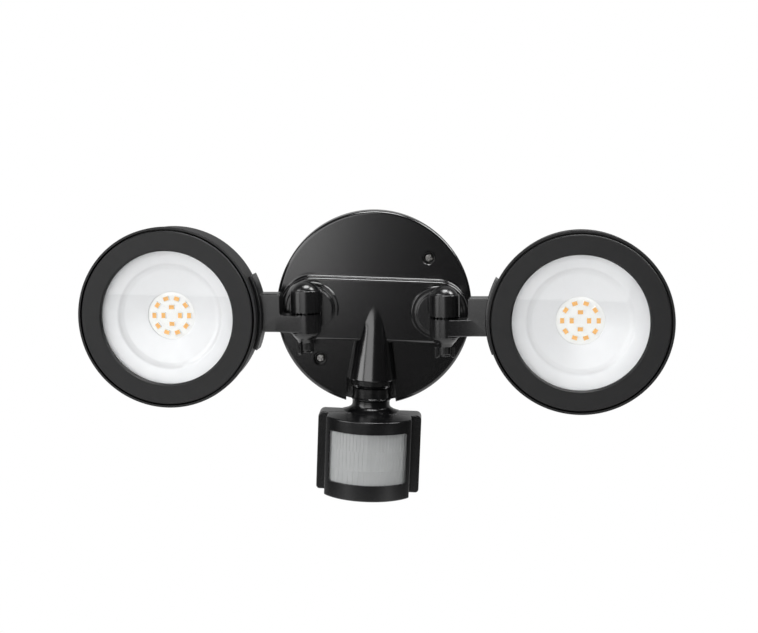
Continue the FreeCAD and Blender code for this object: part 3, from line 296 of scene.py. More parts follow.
FINISH["clear_glass"] = finish(
    "clear_cover", (0.99, 0.995, 0.995), (1.0, 1.0, 1.0), (0.0, 0.02), (60, 2e-7), IOR=1.28,
    Transmission_Weight=1.0)
FINISH["white_reflector"] = finish(
    "white_reflector", (0.71, 0.715, 0.725), (0.75, 0.755, 0.765), (0.28, 0.36), (1500, 1e-6),
    peel=(260, 1.5e-6), Metallic=0.10)
FINISH["milky_lens"] = finish(
    "milky_lens", (0.42, 0.43, 0.43), (0.49, 0.50, 0.50), (0.30, 0.42), (900, 1.2e-5),
    Subsurface_Weight=0.35, Subsurface_Radius=(0.002, 0.002, 0.002), Subsurface_Scale=1.0)
print(len(FINISH), "outside finishes")

# %% The finishes of the hardware and the inside
FINISH["foam_rubber"] = finish(
    "closed_cell_foam", grey(0.018), grey(0.035), (0.80, 0.95), (2200, 1.6e-4),
    peel=(600, 1e-4))
FINISH["zinc_steel"] = finish(
    "zinc_plate", (0.50, 0.52, 0.54), (0.66, 0.66, 0.64), (0.24, 0.42), (1400, 8e-6), patch=260,
    stretch=(0.08, 1, 1), Metallic=1.0)
FINISH["screw_steel"] = finish(
    "screw_steel", grey(0.30), (0.46, 0.45, 0.43), (0.22, 0.38), (2600, 8e-6), Metallic=1.0)
FINISH["ground_green"] = finish(
    "green_lacquer", (0.010, 0.16, 0.045), (0.016, 0.22, 0.06), (0.25, 0.35), (2200, 5e-6))
FINISH["circuit_board"] = finish(
    "board_green", (0.008, 0.085, 0.030), (0.014, 0.13, 0.045), (0.30, 0.42), (1800, 1e-5), patch=700)
FINISH["coil_tape"] = finish(
    "yellow_tape", (0.62, 0.40, 0.03), (0.74, 0.50, 0.06), (0.35, 0.5), (1200, 1.5e-5),
    stretch=(1, 6, 1))
FINISH["can_sleeve"] = finish(
    "shrink_sleeve", (0.010, 0.012, 0.030), (0.016, 0.018, 0.045), (0.20, 0.30), (1500, 6e-6))
FINISH["relay_case"] = finish(
    "relay_case", (0.012, 0.045, 0.16), (0.018, 0.06, 0.20), (0.35, 0.45), (2200, 1e-5))
FINISH["seal_rubber"] = finish(
    "moulded_rubber", grey(0.014), grey(0.022), (0.55, 0.7), (2800, 2e-5))
FINISH["silicone"] = finish(
    "white_silicone", (0.70, 0.70, 0.69), (0.78, 0.78, 0.77), (0.45, 0.55), (2400, 1e-5),
    Subsurface_Weight=0.2, Subsurface_Scale=0.001)
FINISH["board_white"] = finish(
    "white_solder_mask", (0.82, 0.82, 0.80), (0.88, 0.88, 0.87), (0.30, 0.40), (1800, 4e-6))
FINISH["led_phosphor"] = finish(
    "amber_phosphor", (0.80, 0.38, 0.09), (0.95, 0.55, 0.16), (0.35, 0.5), (5200, 2e-5), patch=900)
FINISH["can_metal"] = finish(
    "plated_can", grey(0.60), (0.72, 0.72, 0.71), (0.12, 0.22), (2200, 5e-6), Metallic=1.0)
FINISH["cell_resin"] = finish(
    "light_cell", (0.32, 0.10, 0.03), (0.45, 0.17, 0.06), (0.12, 0.2), (2600, 1e-5), patch=1600)
FINISH["dial_plastic"] = finish(
    "pale_dial", (0.55, 0.55, 0.54), (0.62, 0.62, 0.61), (0.38, 0.5), (2600, 1e-5))
chip_body = finish(
    "chip_body", (0.86, 0.86, 0.84), (0.92, 0.92, 0.90), (0.3, 0.4), (4200, 6e-6))
print(len(FINISH), "finishes in all")

# %% [markdown]
# ## Tools of the workshop
#
# Castings and turned parts share a handful of shapes: a profile spun round an axis, an outline pressed
# into a block, and cuts of one by the other. Sharp corners are what give computer models away, so the
# profile is eased before it is spun: each corner becomes a small arc of points, and the arc catches the
# light as a real moulding edge does. Eased profiles stay clean where a bevel after a cut would leave
# slivers.

# %% Moves in millimetres, and easing corners
def shift(x, y, z):
    return Matrix.Translation(Vector((x, y, z)) * MM)


def eased(corners, radius=0.4, steps=4, closed=True):
    """Corner points (a, b) or (a, b, own radius) of a profile, with an arc at each corner off the axis."""
    points = []
    count = len(corners)
    for i, corner in enumerate(corners):
        here = Vector(corner[:2])
        bend = corner[2] if len(corner) > 2 else radius
        if bend <= 0 or (not closed and i in (0, count - 1)):
            points.append(tuple(here))
            continue
        back = Vector(corners[i - 1][:2]) - here
        ahead = Vector(corners[(i + 1) % count][:2]) - here
        half = back.angle(ahead) / 2
        if half > radians(88):
            points.append(tuple(here))
            continue
        run = min(bend / tan(half), back.length * 0.49, ahead.length * 0.49)
        start, end = here + back.normalized() * run, here + ahead.normalized() * run
        bow = run * tan(half)
        centre = here + (back.normalized() + ahead.normalized()).normalized() * (bow / sin(half))
        first, last = start - centre, end - centre
        turn = first.angle_signed(last)
        for k in range(steps + 1):
            angle = -turn * k / steps
            spoke = Vector((first.x * cos(angle) - first.y * sin(angle),
                            first.x * sin(angle) + first.y * cos(angle)))
            points.append(tuple(centre + spoke))
    return points


print("a square with eased corners has", len(eased([(0, 0), (1, 0), (1, 1), (0, 1)], 0.1)), "points")


# %% Making a piece from points and faces
def piece(name, points, faces, sharp=32):
    """A mesh object from millimetre points, with its faces turned outwards and shaded smooth."""
    mesh = bpy.data.meshes.new(name)
    mesh.from_pydata([Vector(p) * MM for p in points], [], faces)
    work = bmesh.new()
    work.from_mesh(mesh)
    bmesh.ops.remove_doubles(work, verts=work.verts, dist=2e-7)
    bmesh.ops.recalc_face_normals(work, faces=work.faces)
    work.to_mesh(mesh)
    work.free()
    obj = added(name, mesh)
    shade(obj, sharp)
    return obj


def shade(obj, sharp=32):
    obj.data.shade_smooth()
    obj.data.set_sharp_from_angle(angle=radians(sharp))


# %% Spinning a profile
AXES = {
    "X": lambda a, b, h: (h, a, b),
    "Y": lambda a, b, h: (a, h, b),
    "Z": lambda a, b, h: (a, b, h),
}


def turned(name, profile, axis="Y", at=(0, 0, 0), steps=128, wave=None):
    """A closed profile of (radius, height) spun about an axis through the point at.

    A flat end becomes one round face. wave(radius, height, angle) may lift a point along the axis, which is
    how teeth are made. Points start half a step off the axes, so that no cut runs exactly along an edge."""
    flat_start = profile[0][0] < 1e-6 and abs(profile[0][1] - profile[1][1]) < 1e-6
    flat_end = profile[-1][0] < 1e-6 and abs(profile[-1][1] - profile[-2][1]) < 1e-6
    profile = profile[flat_start:len(profile) - flat_end]
    points, rings, faces = [], [], []
    for radius, height in profile:
        ring = []
        for k in range(1 if radius < 1e-6 else steps):
            angle = 2 * pi * (k + (0 if wave else 0.5)) / steps
            lift = wave(radius, height, angle) if wave else 0.0
            spot = AXES[axis](radius * cos(angle), radius * sin(angle), height + lift)
            ring.append(len(points))
            points.append([s + o for s, o in zip(spot, at)])
        rings.append(ring)
    if flat_start:
        faces.append(rings[0])
    if flat_end:
        faces.append(rings[-1])
    closing = [] if flat_start or flat_end or profile[0][0] < 1e-6 else [(rings[-1], rings[0])]
    for ring, following in list(zip(rings, rings[1:])) + closing:
        for k in range(steps):
            corners = [ring[k % len(ring)], ring[(k + 1) % len(ring)],
                       following[(k + 1) % len(following)], following[k % len(following)]]
            corners = list(dict.fromkeys(corners))
            if len(corners) > 2:
                faces.append(corners)
    return piece(name, points, faces)


def rod(name, radius, start, end, **how):
    """A plain cylinder between two heights, mostly used as a drill."""
    return turned(name, [(0, start), (radius, start), (radius, end), (0, end)], **how)


# %% Pressing an outline into a block
def rectangle(x0, x1, z0, z1):
    return [(x0, z0), (x1, z0), (x1, z1), (x0, z1)]


def pressed(name, outline, levels, axis="Y", at=(0, 0, 0)):
    """A block of an outline; levels are (inset, height) pairs, so its edges can be rounded or flared."""
    count = len(outline)
    sign = 1 if sum(outline[i - 1][0] * outline[i][1] - outline[i][0] * outline[i - 1][1]
                    for i in range(count)) > 0 else -1
    miters = []
    for i, corner in enumerate(outline):
        before = (Vector(corner) - Vector(outline[i - 1])).normalized()
        after = (Vector(outline[(i + 1) % count]) - Vector(corner)).normalized()
        inward = Vector((-before.y - after.y, before.x + after.x)) * sign
        miters.append(inward / max(0.3, 1 + before.dot(after)))
    points, faces = [], []
    for inset, height in levels:
        for corner, miter in zip(outline, miters):
            spot = Vector(corner) + miter * inset
            points.append([s + o for s, o in zip(AXES[axis](spot.x, spot.y, height), at)])
    for level in range(len(levels) - 1):
        low = level * count
        for i in range(count):
            j = (i + 1) % count
            faces.append([low + i, low + j, low + count + j, low + count + i])
    faces.append(list(range(count)))
    faces.append(list(range((len(levels) - 1) * count, len(levels) * count)))
    return piece(name, points, faces)


def soft_levels(low, high, low_edge, high_edge, steps=4):
    """Levels of a straight block from low to high, its two rims rounded by the given radii."""
    levels = []
    for edge, height, side in ((low_edge, low, 1), (high_edge, high, -1)):
        arc = [pi / 2 * k / steps for k in range(steps + 1)] if edge else [pi / 2]
        rim = [(edge * (1 - sin(a)), height + side * edge * (1 - cos(a))) for a in arc]
        levels += rim if side == 1 else rim[::-1]
    return levels


# %% Cutting and joining
def worked(body, tools, how):
    """One exact cut or join after another, each tool thrown away when it has done its work."""
    for tool in tools:
        step = body.modifiers.new(how.lower(), "BOOLEAN")
        step.operation, step.solver, step.object = how, "EXACT", tool
    bpy.context.view_layer.update()
    result = bpy.data.meshes.new_from_object(body.evaluated_get(bpy.context.evaluated_depsgraph_get()))
    body.modifiers.clear()
    clean = bmesh.new()
    clean.from_mesh(result)
    bmesh.ops.remove_doubles(clean, verts=clean.verts, dist=1e-6)
    clean.to_mesh(result)
    clean.free()
    body.data = result
    for tool in tools:
        bpy.data.objects.remove(tool)
    shade(body)
    return body


def joined(body, *tools):
    return worked(body, tools, "UNION")


def carved(body, *tools):
    return worked(body, tools, "DIFFERENCE")


def kept_inside(body, tool):
    return worked(body, [tool], "INTERSECT")


# %% [markdown]
# ## Where the two sides lie
#
# Both heads are the same product, drawn once for the right-hand side and mirrored for the left. At rest
# each arm is rolled a little on its swivel and folded a little on its hinge bolt. The hinge axis is in the
# frame, so the roll is read from it; the fold is an angle that the two heads were photographed at.

# %% Placing pieces on a side
COLLAR_X, PIN_X, PIN_Y = 37.0, 40.3, -41.5
FOLD = {"left": -7.4, "right": -8.7}
joint_of = {joint["name"]: joint for joint in frame["joints"]}


def rest_place(side, fold=0.0):
    """From right-hand drawing millimetres to the frame."""
    sign = 1 if side == "right" else -1
    axis = joint_of[side + "_wing_nut_turn"]["axis"]
    roll = atan2(axis[0], axis[2])
    pin = Vector((sign * PIN_X, PIN_Y, 0)) * MM
    collar = Vector((sign * COLLAR_X, 0, 0)) * MM
    folded = Matrix.Translation(pin) @ Matrix.Rotation(radians(fold), 4, "Z") @ Matrix.Translation(-pin)
    rolled = Matrix.Translation(collar) @ Matrix.Rotation(roll, 4, "Y") @ Matrix.Translation(-collar)
    return rolled @ folded @ Matrix.Diagonal((sign, 1, 1, 1))


def settle(obj, place):
    """Moves the mesh itself, so that the object stays at the origin; a mirrored mesh gets its faces back."""
    obj.data.transform(place)
    if place.determinant() < 0:
        obj.data.flip_normals()
    return obj


def fitted(obj, node, slot, body):
    """Takes the place of a node of the frame: its finish, its body and its share of the space."""
    even = obj.modifiers.new("even_light", "WEIGHTED_NORMAL")
    even.keep_sharp = True
    if not obj.data.materials:
        obj.data.materials.append(FINISH[slot])
    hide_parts(node)
    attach(obj, body)
    low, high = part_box(node)
    mine = [Vector(v.co) for v in obj.data.vertices]
    over = max(max(low[i] - min(p[i] for p in mine), max(p[i] for p in mine) - high[i]) for i in range(3))
    print(f"{obj.name}: {len(obj.data.polygons)} faces, proud of its node by {over / MM:.2f} mm")
    return obj


def both_sides(name, slot, body, make):
    """Draws a right-hand piece twice and puts one on each side; what rides on a lamp is folded with it."""
    for side in ("left", "right"):
        obj = make(f"{side}_{name}_look")
        settle(obj, rest_place(side, FOLD[side] if body == "lamp" else 0.0))
        fitted(obj, f"{side}_{name}", slot, f"{side}_{body}")

# %% [markdown]
# ## The canopy
#
# On the real light this is one casting: a shallow dish, a raised bridge across it with a collar at each
# end, and a tapered stem that grows out of the bridge to hold the sensor. It could be one subdivision
# surface, but its flat face and true circles would wobble. So each form is turned or pressed with its own
# eased rim, and exact joins make them one skin. The bridge gets a small flare at its foot, the fillet a
# foundry leaves.

# %% Canopy: the solid forms
FACE_Y, BACK_Y, BRIDGE_Y, COLLAR_Y = -16.1, -1.6, -25.6, -26.8
CANOPY_R, WALL, FACE_WALL = 58.5, 2.2, 2.4
BRIDGE_R, FOOT_R, COLLAR_R = 18.5, 1.1, 15.4
STEM_Y, STEM_TOP, STEM_END, BALL_Z = -17.5, 3.0, -42.0, -38.0
STEM_R, STEM_TAPER = 8.1, 0.15
ON_STEM = {"axis": "Z", "at": (0, STEM_Y, 0)}
ON_BALL = {"axis": "Z", "at": (0, STEM_Y, BALL_Z)}


def stem_radius(z, inset=0.0):
    return STEM_R + STEM_TAPER * (STEM_TOP - z) - inset


def stadium(half, radius, steps=40):
    arc = [pi * (k / steps - 0.5) for k in range(steps + 1)]
    right_end = [(half + radius * cos(a), radius * sin(a)) for a in arc]
    return right_end + [(-x, -z) for x, z in right_end]


def block(name, x0, x1, y0, y1, z0, z1, edge=0.0):
    outline = rectangle(x0, x1, z0, z1)
    if edge:
        outline = eased(outline, edge)
    return pressed(name, outline, soft_levels(y0, y1, edge, edge) if edge else [(0, y0), (0, y1)])


dish = [(0, FACE_Y, 0), (CANOPY_R, FACE_Y, 2.0), (CANOPY_R, BACK_Y, 0.3), (CANOPY_R - WALL, BACK_Y, 0.3),
        (CANOPY_R - WALL, FACE_Y + FACE_WALL, 1.0), (0, FACE_Y + FACE_WALL, 0)]
canopy = turned("canopy_housing_look", eased(dish, steps=8), steps=256)
foot = [(-FOOT_R * (1 - sin(a)), FACE_Y - FOOT_R * (1 - cos(a)))
        for a in (pi / 2 * k / 5 for k in range(6))]
rim = soft_levels(BRIDGE_Y, FACE_Y, 1.6, 0, steps=6)[::-1][1:]
bridge = pressed("bridge", stadium(COLLAR_X, BRIDGE_R), [(-FOOT_R, FACE_Y + 0.8)] + foot + rim)
collar = eased([(0, BRIDGE_Y + 0.6, 0), (COLLAR_R + 0.7, BRIDGE_Y + 0.3, 0), (COLLAR_R, BRIDGE_Y - 0.25, 0.5),
                (COLLAR_R, COLLAR_Y, 0.45), (0, COLLAR_Y, 0)])
collars = [turned("collar", collar, at=(x, 0, 0), steps=96) for x in (-COLLAR_X, COLLAR_X)]
stem_wall = [(stem_radius(z), z) for z in (STEM_TOP, -10.0, -20.0, -30.0, STEM_END + 0.5)]
stem_tip = [(stem_radius(STEM_END) - 0.45, STEM_END - 0.05), (0, STEM_END - 0.05)]
stem = turned("stem", [(0, STEM_TOP)] + stem_wall + stem_tip, steps=160, **ON_STEM)
joined(canopy, bridge, stem, *collars)
print("canopy forms joined:", len(canopy.data.polygons), "faces")

# %% [markdown]
# The inside is hollowed the same way. It shows from behind through the plate's openings, and the stem's
# end has a round seat for the ball of the sensor. The two screws on the face sit in deep round wells.

# %% Canopy: hollows and bosses
SCREW_HOLES_APART = 88.9
SCREW_SPOT = SCREW_HOLES_APART / 2 * cos(pi / 4)
screw_spots = [(SCREW_SPOT, SCREW_SPOT), (-SCREW_SPOT, -SCREW_SPOT)]
driver_spots = [(x, z) for x in (-22.0, 22.0) for z in (-19.8, 19.8)]


def peg(name, radius, y0, y1, x=0.0, z=0.0, edge=0.0, steps=48):
    """A cylinder that points at the wall, with its rims rounded by edge."""
    if not edge:
        return rod(name, radius, y0, y1, at=(x, 0, z), steps=steps)
    rim = eased([(0, y0, 0), (radius, y0, edge), (radius, y1, edge), (0, y1, 0)])
    return turned(name, rim, at=(x, 0, z), steps=steps)


def ball_shape(name, radius, slices, steps):
    """A ball round the middle of the sensor's joint."""
    angles = [pi * k / slices for k in range(slices + 1)]
    arc = [(radius * sin(a), radius * cos(a)) for a in angles]
    return turned(name, arc, steps=steps, **ON_BALL)


bridge_room = pressed("bridge_room", stadium(COLLAR_X, 16.1), [(0, BRIDGE_Y + FACE_WALL), (0, FACE_Y + 3.0)])
throat_wall = [(stem_radius(z, WALL), z) for z in (-12, -29)]
throat = turned("throat", [(0, -12)] + throat_wall + [(0, -29)], steps=96, **ON_STEM)
carved(canopy, bridge_room, throat)
pocket_walls = kept_inside(block("pocket_walls", -17.2, 17.2, FACE_Y + 0.6, BACK_Y - 0.2, -CANOPY_R, -39.8),
                           peg("rim_inside", CANOPY_R - 0.6, -17, 0, steps=192))
bosses = [peg("boss", 5.4, FACE_Y + 0.6, BACK_Y, x, z, 0.3) for x, z in screw_spots]
posts = [peg("post", 2.6, FACE_Y + 0.6, -10.7, x, z) for x, z in driver_spots]
joined(canopy, pocket_walls, *bosses, *posts)
print("canopy hollowed:", len(canopy.data.polygons), "faces")

# %% Canopy: seats, bores and wells
WELL_R, WELL_DEPTH = 3.7, 3.5
SEAT_R, RING_BORE_R = 9.9, 12.46

cuts = [ball_shape("ball_seat", SEAT_R, 32, 96),
        rod("ring_bore", RING_BORE_R, -45, -40.6, steps=96, **ON_STEM),
        rod("wire_hole", 5, -38, -28, **ON_STEM),
        block("pocket", -15, 15, -60, -3.2, -60, STEM_END)]
for x in (-COLLAR_X, COLLAR_X):
    cuts.append(peg("stud_hole", 6.05, -28, -20, x))
    cuts.append(turned("seal_groove", [(8.6, -28), (12.4, -28), (12.4, -25.9), (8.6, -25.9)], at=(x, 0, 0)))
well_floor = FACE_Y + WELL_DEPTH
well = eased([(0, -17, 0), (WELL_R + 0.5, -17, 0), (WELL_R + 0.5, FACE_Y - 0.01, 0),
              (WELL_R, FACE_Y + 0.5, 0.3), (WELL_R, well_floor, 0.3), (0, well_floor, 0)])
for x, z in screw_spots:
    cuts.append(turned("well", well, at=(x, 0, z), steps=64))
    cuts.append(peg("screw_hole", 1.95, -14, 1, x, z))
carved(canopy, *cuts)
fitted(canopy, "canopy_housing", "canopy_plastic", "canopy")

# %% [markdown]
# ## The two canopy screws
#
# They are plated pan heads with a cross recess, and the only bright specks on the face. Four tapered wings
# cut from a domed head read as a real recess even when it is a few pixels wide.

# %% Pan-head screws
def pan_head(name, radius, height, y_seat, x, z, shank, tip, lean=0.0):
    """A domed head towards the front on a plain shank, with a cross driven into it."""
    dome = [(0, y_seat - height, 0), (radius * 0.62, y_seat - height * 0.97, radius * 0.4),
            (radius, y_seat - height * 0.45, radius * 0.3), (radius, y_seat, 0.1), (shank, y_seat, 0),
            (shank, tip, 0.3), (0, tip, 0)]
    head = turned(name, eased(dome, steps=5), at=(x, 0, z), steps=48)
    arms = []
    for turn in (0, 90):
        half, slim, deep = radius * 0.74, radius * 0.2, height * 0.7
        wing = pressed("wing", rectangle(-half, half, -slim, slim),
                       [(0, -height - 1), (0, -height), (radius * 0.06, -height + deep)])
        wing.data.transform(shift(x, y_seat, z) @ Matrix.Rotation(radians(turn + lean), 4, "Y"))
        arms.append(wing)
    return carved(head, *arms)


canopy_screws = [pan_head(f"canopy_screw_{k}", 2.9, 1.9, FACE_Y + WELL_DEPTH, x, z, 1.75, -0.1, lean)
                 for k, ((x, z), lean) in enumerate(zip(screw_spots, (18, 40)))]
for screw in canopy_screws:
    screw.data.materials.append(FINISH["screw_steel"])
    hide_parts("canopy_screws")
    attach(screw, "canopy")
print(len(canopy_screws), "canopy screws")

# %% [markdown]
# ## Swivels, with teeth
#
# Each swivel turns on its collar and carries the upper half of a toothed hinge. Tightening the wing nut
# pulls the two rings of teeth together, so the head stays where it was aimed. The teeth are not cut: the
# ring's end face is spun with a height that rises and falls with the angle, which gives clean wedges all
# round.

# %% Swivel
TEETH, TOOTH_H = 24, 0.9
LUG_R, LUG_TOP, LUG_BOTTOM = 8.75, 13.0, -12.5
UPPER_TIP, LOWER_TIP = -0.25, -0.55
BOLT_R = 3.0
BOLT_WAY = BOLT_R + 0.05
STUD_R, STUD_BORE, NECK_HALF = 6.0, 3.5, 5.7
DISC_R, DISC_Y, STEP_Y, SWIVEL_Y = 13.6, -27.1, -28.6, -30.0
ON_BOLT = {"axis": "Z", "at": (PIN_X, PIN_Y, 0)}
TOOTHED = {"steps": TEETH * 8, **ON_BOLT}


def tooth_wave(height, up, shift):
    """Wedges on the points that lie at this height; up says which way the tips point."""
    def wave(_radius, at_height, angle):
        if abs(at_height - height) > 1e-6:
            return 0.0
        step = (angle / (2 * pi) * TEETH + shift) % 1.0
        return (1 if up else -1) * TOOTH_H * (1 - abs(2 * step - 1))
    return wave


def swivel(name):
    plate = eased([(STUD_BORE, DISC_Y, 0), (DISC_R, DISC_Y, 0.3), (DISC_R, STEP_Y, 0.5), (12.3, STEP_Y, 0.4),
                   (12.0, SWIVEL_Y, 0.5), (STUD_BORE, SWIVEL_Y, 0)], steps=5)
    disc = turned(name, plate, at=(COLLAR_X, 0, 0))
    stud = turned("stud", [(STUD_BORE, DISC_Y - 0.3), (STUD_R, DISC_Y - 0.3), (STUD_R, -13.6), (5.6, -13.2),
                           (STUD_BORE, -13.2)], at=(COLLAR_X, 0, 0), steps=64)
    flat = UPPER_TIP + TOOTH_H
    face = [(BOLT_WAY, flat + 0.4), (4.2, flat), (6.4, flat), (LUG_R, flat)]
    side = eased([(LUG_R, flat + 1.2, 0), (LUG_R, LUG_TOP, 0.7), (BOLT_WAY, LUG_TOP, 0)], closed=False)
    lug = turned("lug", face + side, wave=tooth_wave(flat, False, 0.0), **TOOTHED)
    across = rectangle(COLLAR_X - NECK_HALF + 0.5, PIN_X + NECK_HALF, flat + 0.2, LUG_TOP - 2)
    neck = pressed("neck", eased(across, 1.8),
                   [(0, PIN_Y + 1.0), (0, SWIVEL_Y - 1.4), (-0.4, SWIVEL_Y - 0.6), (-1.2, SWIVEL_Y + 0.3)])
    return carved(joined(disc, stud, lug, neck), rod("bolt_way", BOLT_WAY, -3, 20, **TOOTHED))


both_sides("swivel", "knuckle_metal", "knuckle", swivel)

# %% [markdown]
# ## Bolt heads, cups and wing nuts
#
# The hinge bolt ends in a smooth dome on top. Below sits a cup washer shaped like the dome upside down,
# and the wing nut hangs under it: a short hub with two ears, and a notch between them in the lower edge.

# %% Bolt, cup and wing nut
CAP_R, CUP_R, CUP_END = 7.6, 7.9, -17.7
NUT_TOP, NUT_H = -17.75, 4.6
EAR_THICK = 1.8


def cap_profile(radius, height, base, direction, steps=14):
    """Half the outline of a round cap that stands on a level."""
    ball = (radius ** 2 + height ** 2) / (2 * height)
    top = asin(radius / ball)
    angles = [top * k / steps for k in range(steps + 1)]
    return [(ball * sin(a), base + direction * (ball * cos(a) - ball + height)) for a in angles]


def hinge_bolt(name):
    cap = cap_profile(CAP_R, 4.75, LUG_TOP + 0.25, 1)
    shank = [(CAP_R, LUG_TOP, 0), (BOLT_R, LUG_TOP, 0), (BOLT_R, -23.4, 0.3), (0, -23.8, 0)]
    return turned(name, cap + eased(shank, closed=False), steps=96, **ON_BOLT)


def cup_washer(name):
    bowl = [p for p in cap_profile(CUP_R, 5.0, LUG_BOTTOM - 0.2, -1) if p[0] > 4.8]
    profile = [(BOLT_WAY, CUP_END), (4.4, CUP_END)] + bowl + [(CUP_R, LUG_BOTTOM), (BOLT_WAY, LUG_BOTTOM)]
    return turned(name, profile, steps=96, **ON_BOLT)


REST_TURN = {"left": 49.0, "right": 0.0}


def wing_nut(name):
    low = NUT_TOP - NUT_H
    tube = eased([(BOLT_WAY, NUT_TOP, 0), (4.2, NUT_TOP, 0.3), (3.9, low, 0.7), (BOLT_WAY, low, 0)])
    hub = turned(name, tube, steps=64, **ON_BOLT)
    half_ear = [(-2.6, -5.0, 1), (-4.4, -6.8, 0.7), (-5.6, -6.6, 0.7), (-5.9, -5.4, 0.7), (-5.9, -0.1, 0.5)]
    ear = [(0, -5.2, 1.5)] + half_ear + [(-x, z, bend) for x, z, bend in half_ear[::-1]]
    ears = pressed("ears", [(PIN_X + x, NUT_TOP + z) for x, z in eased(ear, steps=5)],
                   soft_levels(PIN_Y - EAR_THICK / 2, PIN_Y + EAR_THICK / 2, 0.45, 0.45))
    return carved(joined(hub, ears), rod("thread_way", BOLT_WAY, -30, -10, steps=64, **ON_BOLT))


both_sides("hinge_bolt", "knuckle_metal", "knuckle", hinge_bolt)
both_sides("cup_washer", "knuckle_metal", "lamp", cup_washer)
for side in ("left", "right"):
    nut = settle(wing_nut(f"{side}_wing_nut_look"), rest_place(side, REST_TURN[side]))
    fitted(nut, f"{side}_wing_nut", "knuckle_metal", f"{side}_clamp")

# %% [markdown]
# ## Arms
#
# Seen from the front the arm is a bar that steps down to half its height before it meets the hinge, so
# that the two lugs can lie one above the other. Its front slopes out to the front of the lug, so that the
# metal is thick where it bends. A shallow parting line runs along it, left by the two halves of the mould.
# Its other end spreads into a pad that follows the round side of the head.

# %% Arm
ARM_REACH = 78.0
HEAD_X = PIN_X + ARM_REACH
OPENING_Y = PIN_Y - 17.6
HEAD_DROP = 1.7
BODY_R = 51.4
PAD_R = BODY_R + 0.05
ARM_HALF = 5.5
ARM_TOP, ARM_LOW, ARM_STEP = 11.2, -11.2, PIN_X + 13.7
ARM_FRONT, ARM_BACK = PIN_Y - ARM_HALF, PIN_Y + ARM_HALF


def head_pad():
    front = OPENING_Y + 9.5
    band = turned("pad", eased([(PAD_R, front, 0), (PAD_R + 2.6, front, 1.0), (PAD_R + 2.6, ARM_BACK, 1.0),
                                (PAD_R, ARM_BACK, 0)], steps=5), at=(HEAD_X, 0, -HEAD_DROP), steps=256)
    up, down = radians(33), radians(27)
    wedge = [(HEAD_X - 20, -HEAD_DROP), (HEAD_X - 100 * cos(up), 100 * sin(up) - HEAD_DROP),
             (HEAD_X - 100 * cos(down), -100 * sin(down) - HEAD_DROP)]
    return kept_inside(band, pressed("wedge", wedge, [(0, front - 1), (0, ARM_BACK + 1)]))


def web(run, low, high):
    """The slope from the front of the arm to the front of its lug, tangent to the lug."""
    lean = acos(LUG_R / hypot(run, ARM_HALF)) + atan2(ARM_HALF, run)
    plan = [(0.5, 0), (0.99 * LUG_R * cos(lean), -0.997 * LUG_R * sin(lean)),
            (run, -ARM_HALF), (run, 0)]
    plan = [(PIN_X + x, PIN_Y + y) for x, y in plan]
    return pressed("web", plan, soft_levels(low, high, 0.8, 0.5), axis="Z")


def arm(name):
    shelf = LOWER_TIP - TOOTH_H
    end = HEAD_X - BODY_R + 8.0
    outline = eased([(PIN_X + 1.0, shelf, 0), (ARM_STEP, shelf, 2.0), (ARM_STEP, ARM_TOP, 1.6),
                     (end, ARM_TOP, 0), (end, ARM_LOW, 0), (PIN_X + 1.0, ARM_LOW, 0)], steps=6)
    bar = pressed(name, outline, soft_levels(ARM_FRONT, ARM_BACK, 1.0, 1.0))
    side = eased([(BOLT_WAY, LUG_BOTTOM, 0), (LUG_R, LUG_BOTTOM, 0.7), (LUG_R, shelf - 1.2, 0)], closed=False)
    face = [(LUG_R, shelf), (6.4, shelf), (4.2, shelf), (BOLT_WAY, shelf - 0.4)]
    lug = turned("lug", side + face, wave=tooth_wave(shelf, True, 0.5), **TOOTHED)
    slope = web(ARM_STEP + 3.0 - PIN_X, ARM_LOW + 0.03, shelf - 0.03)
    body = joined(bar, lug, slope, head_pad())
    seam = pressed("seam", rectangle(ARM_STEP + 1.2, end, -0.55, -0.2),
                   [(0, ARM_FRONT - 1), (0, ARM_FRONT + 0.22)])
    tools = [seam, peg("head_side", PAD_R, -60, 0, HEAD_X, -HEAD_DROP, steps=256),
             rod("bolt_way", BOLT_WAY, -15, 3, **TOOTHED)]
    for z in (-6.5, 6.5):
        tools.append(rod("screw_way", 1.75, 59, 80, axis="X", at=(0, PIN_Y, z), steps=32))
    return carved(body, *tools)


both_sides("arm", "knuckle_metal", "lamp", arm)

# %% [markdown]
# ## Heads
#
# A head is a deep round can with a thicker lip at its mouth and cooling fins on its back. Spinning gives
# true circles, which matter most here: two large rings face the camera, and any flat in them would show as
# a break in the long highlight. The fins are pressed blocks with soft rims, joined on afterwards.

# %% Head housing
BOARD_Y = 13.2
BACK_WALL, FIN_TIP, FINS, FIN_PITCH = 29.0, 34.0, 9, 9.0
SCREW_RING = 47.3
head_screws = [(SCREW_RING * cos(a), SCREW_RING * sin(a))
               for a in (radians(degrees) for degrees in (45, 135, 225, 315))]


def in_head(obj):
    obj.data.transform(shift(HEAD_X, OPENING_Y, -HEAD_DROP))
    return obj


def fin(x):
    half = sqrt(42.0 ** 2 - x ** 2)
    return pressed("fin", eased(rectangle(x - 1, x + 1, -half, half), 0.9, 3),
                   [(-0.5, 28.6), (-0.5, BACK_WALL), (-0.15, 29.3), (0, 29.9), (0.05, 33.6), (0.25, 33.9),
                    (0.6, FIN_TIP)])


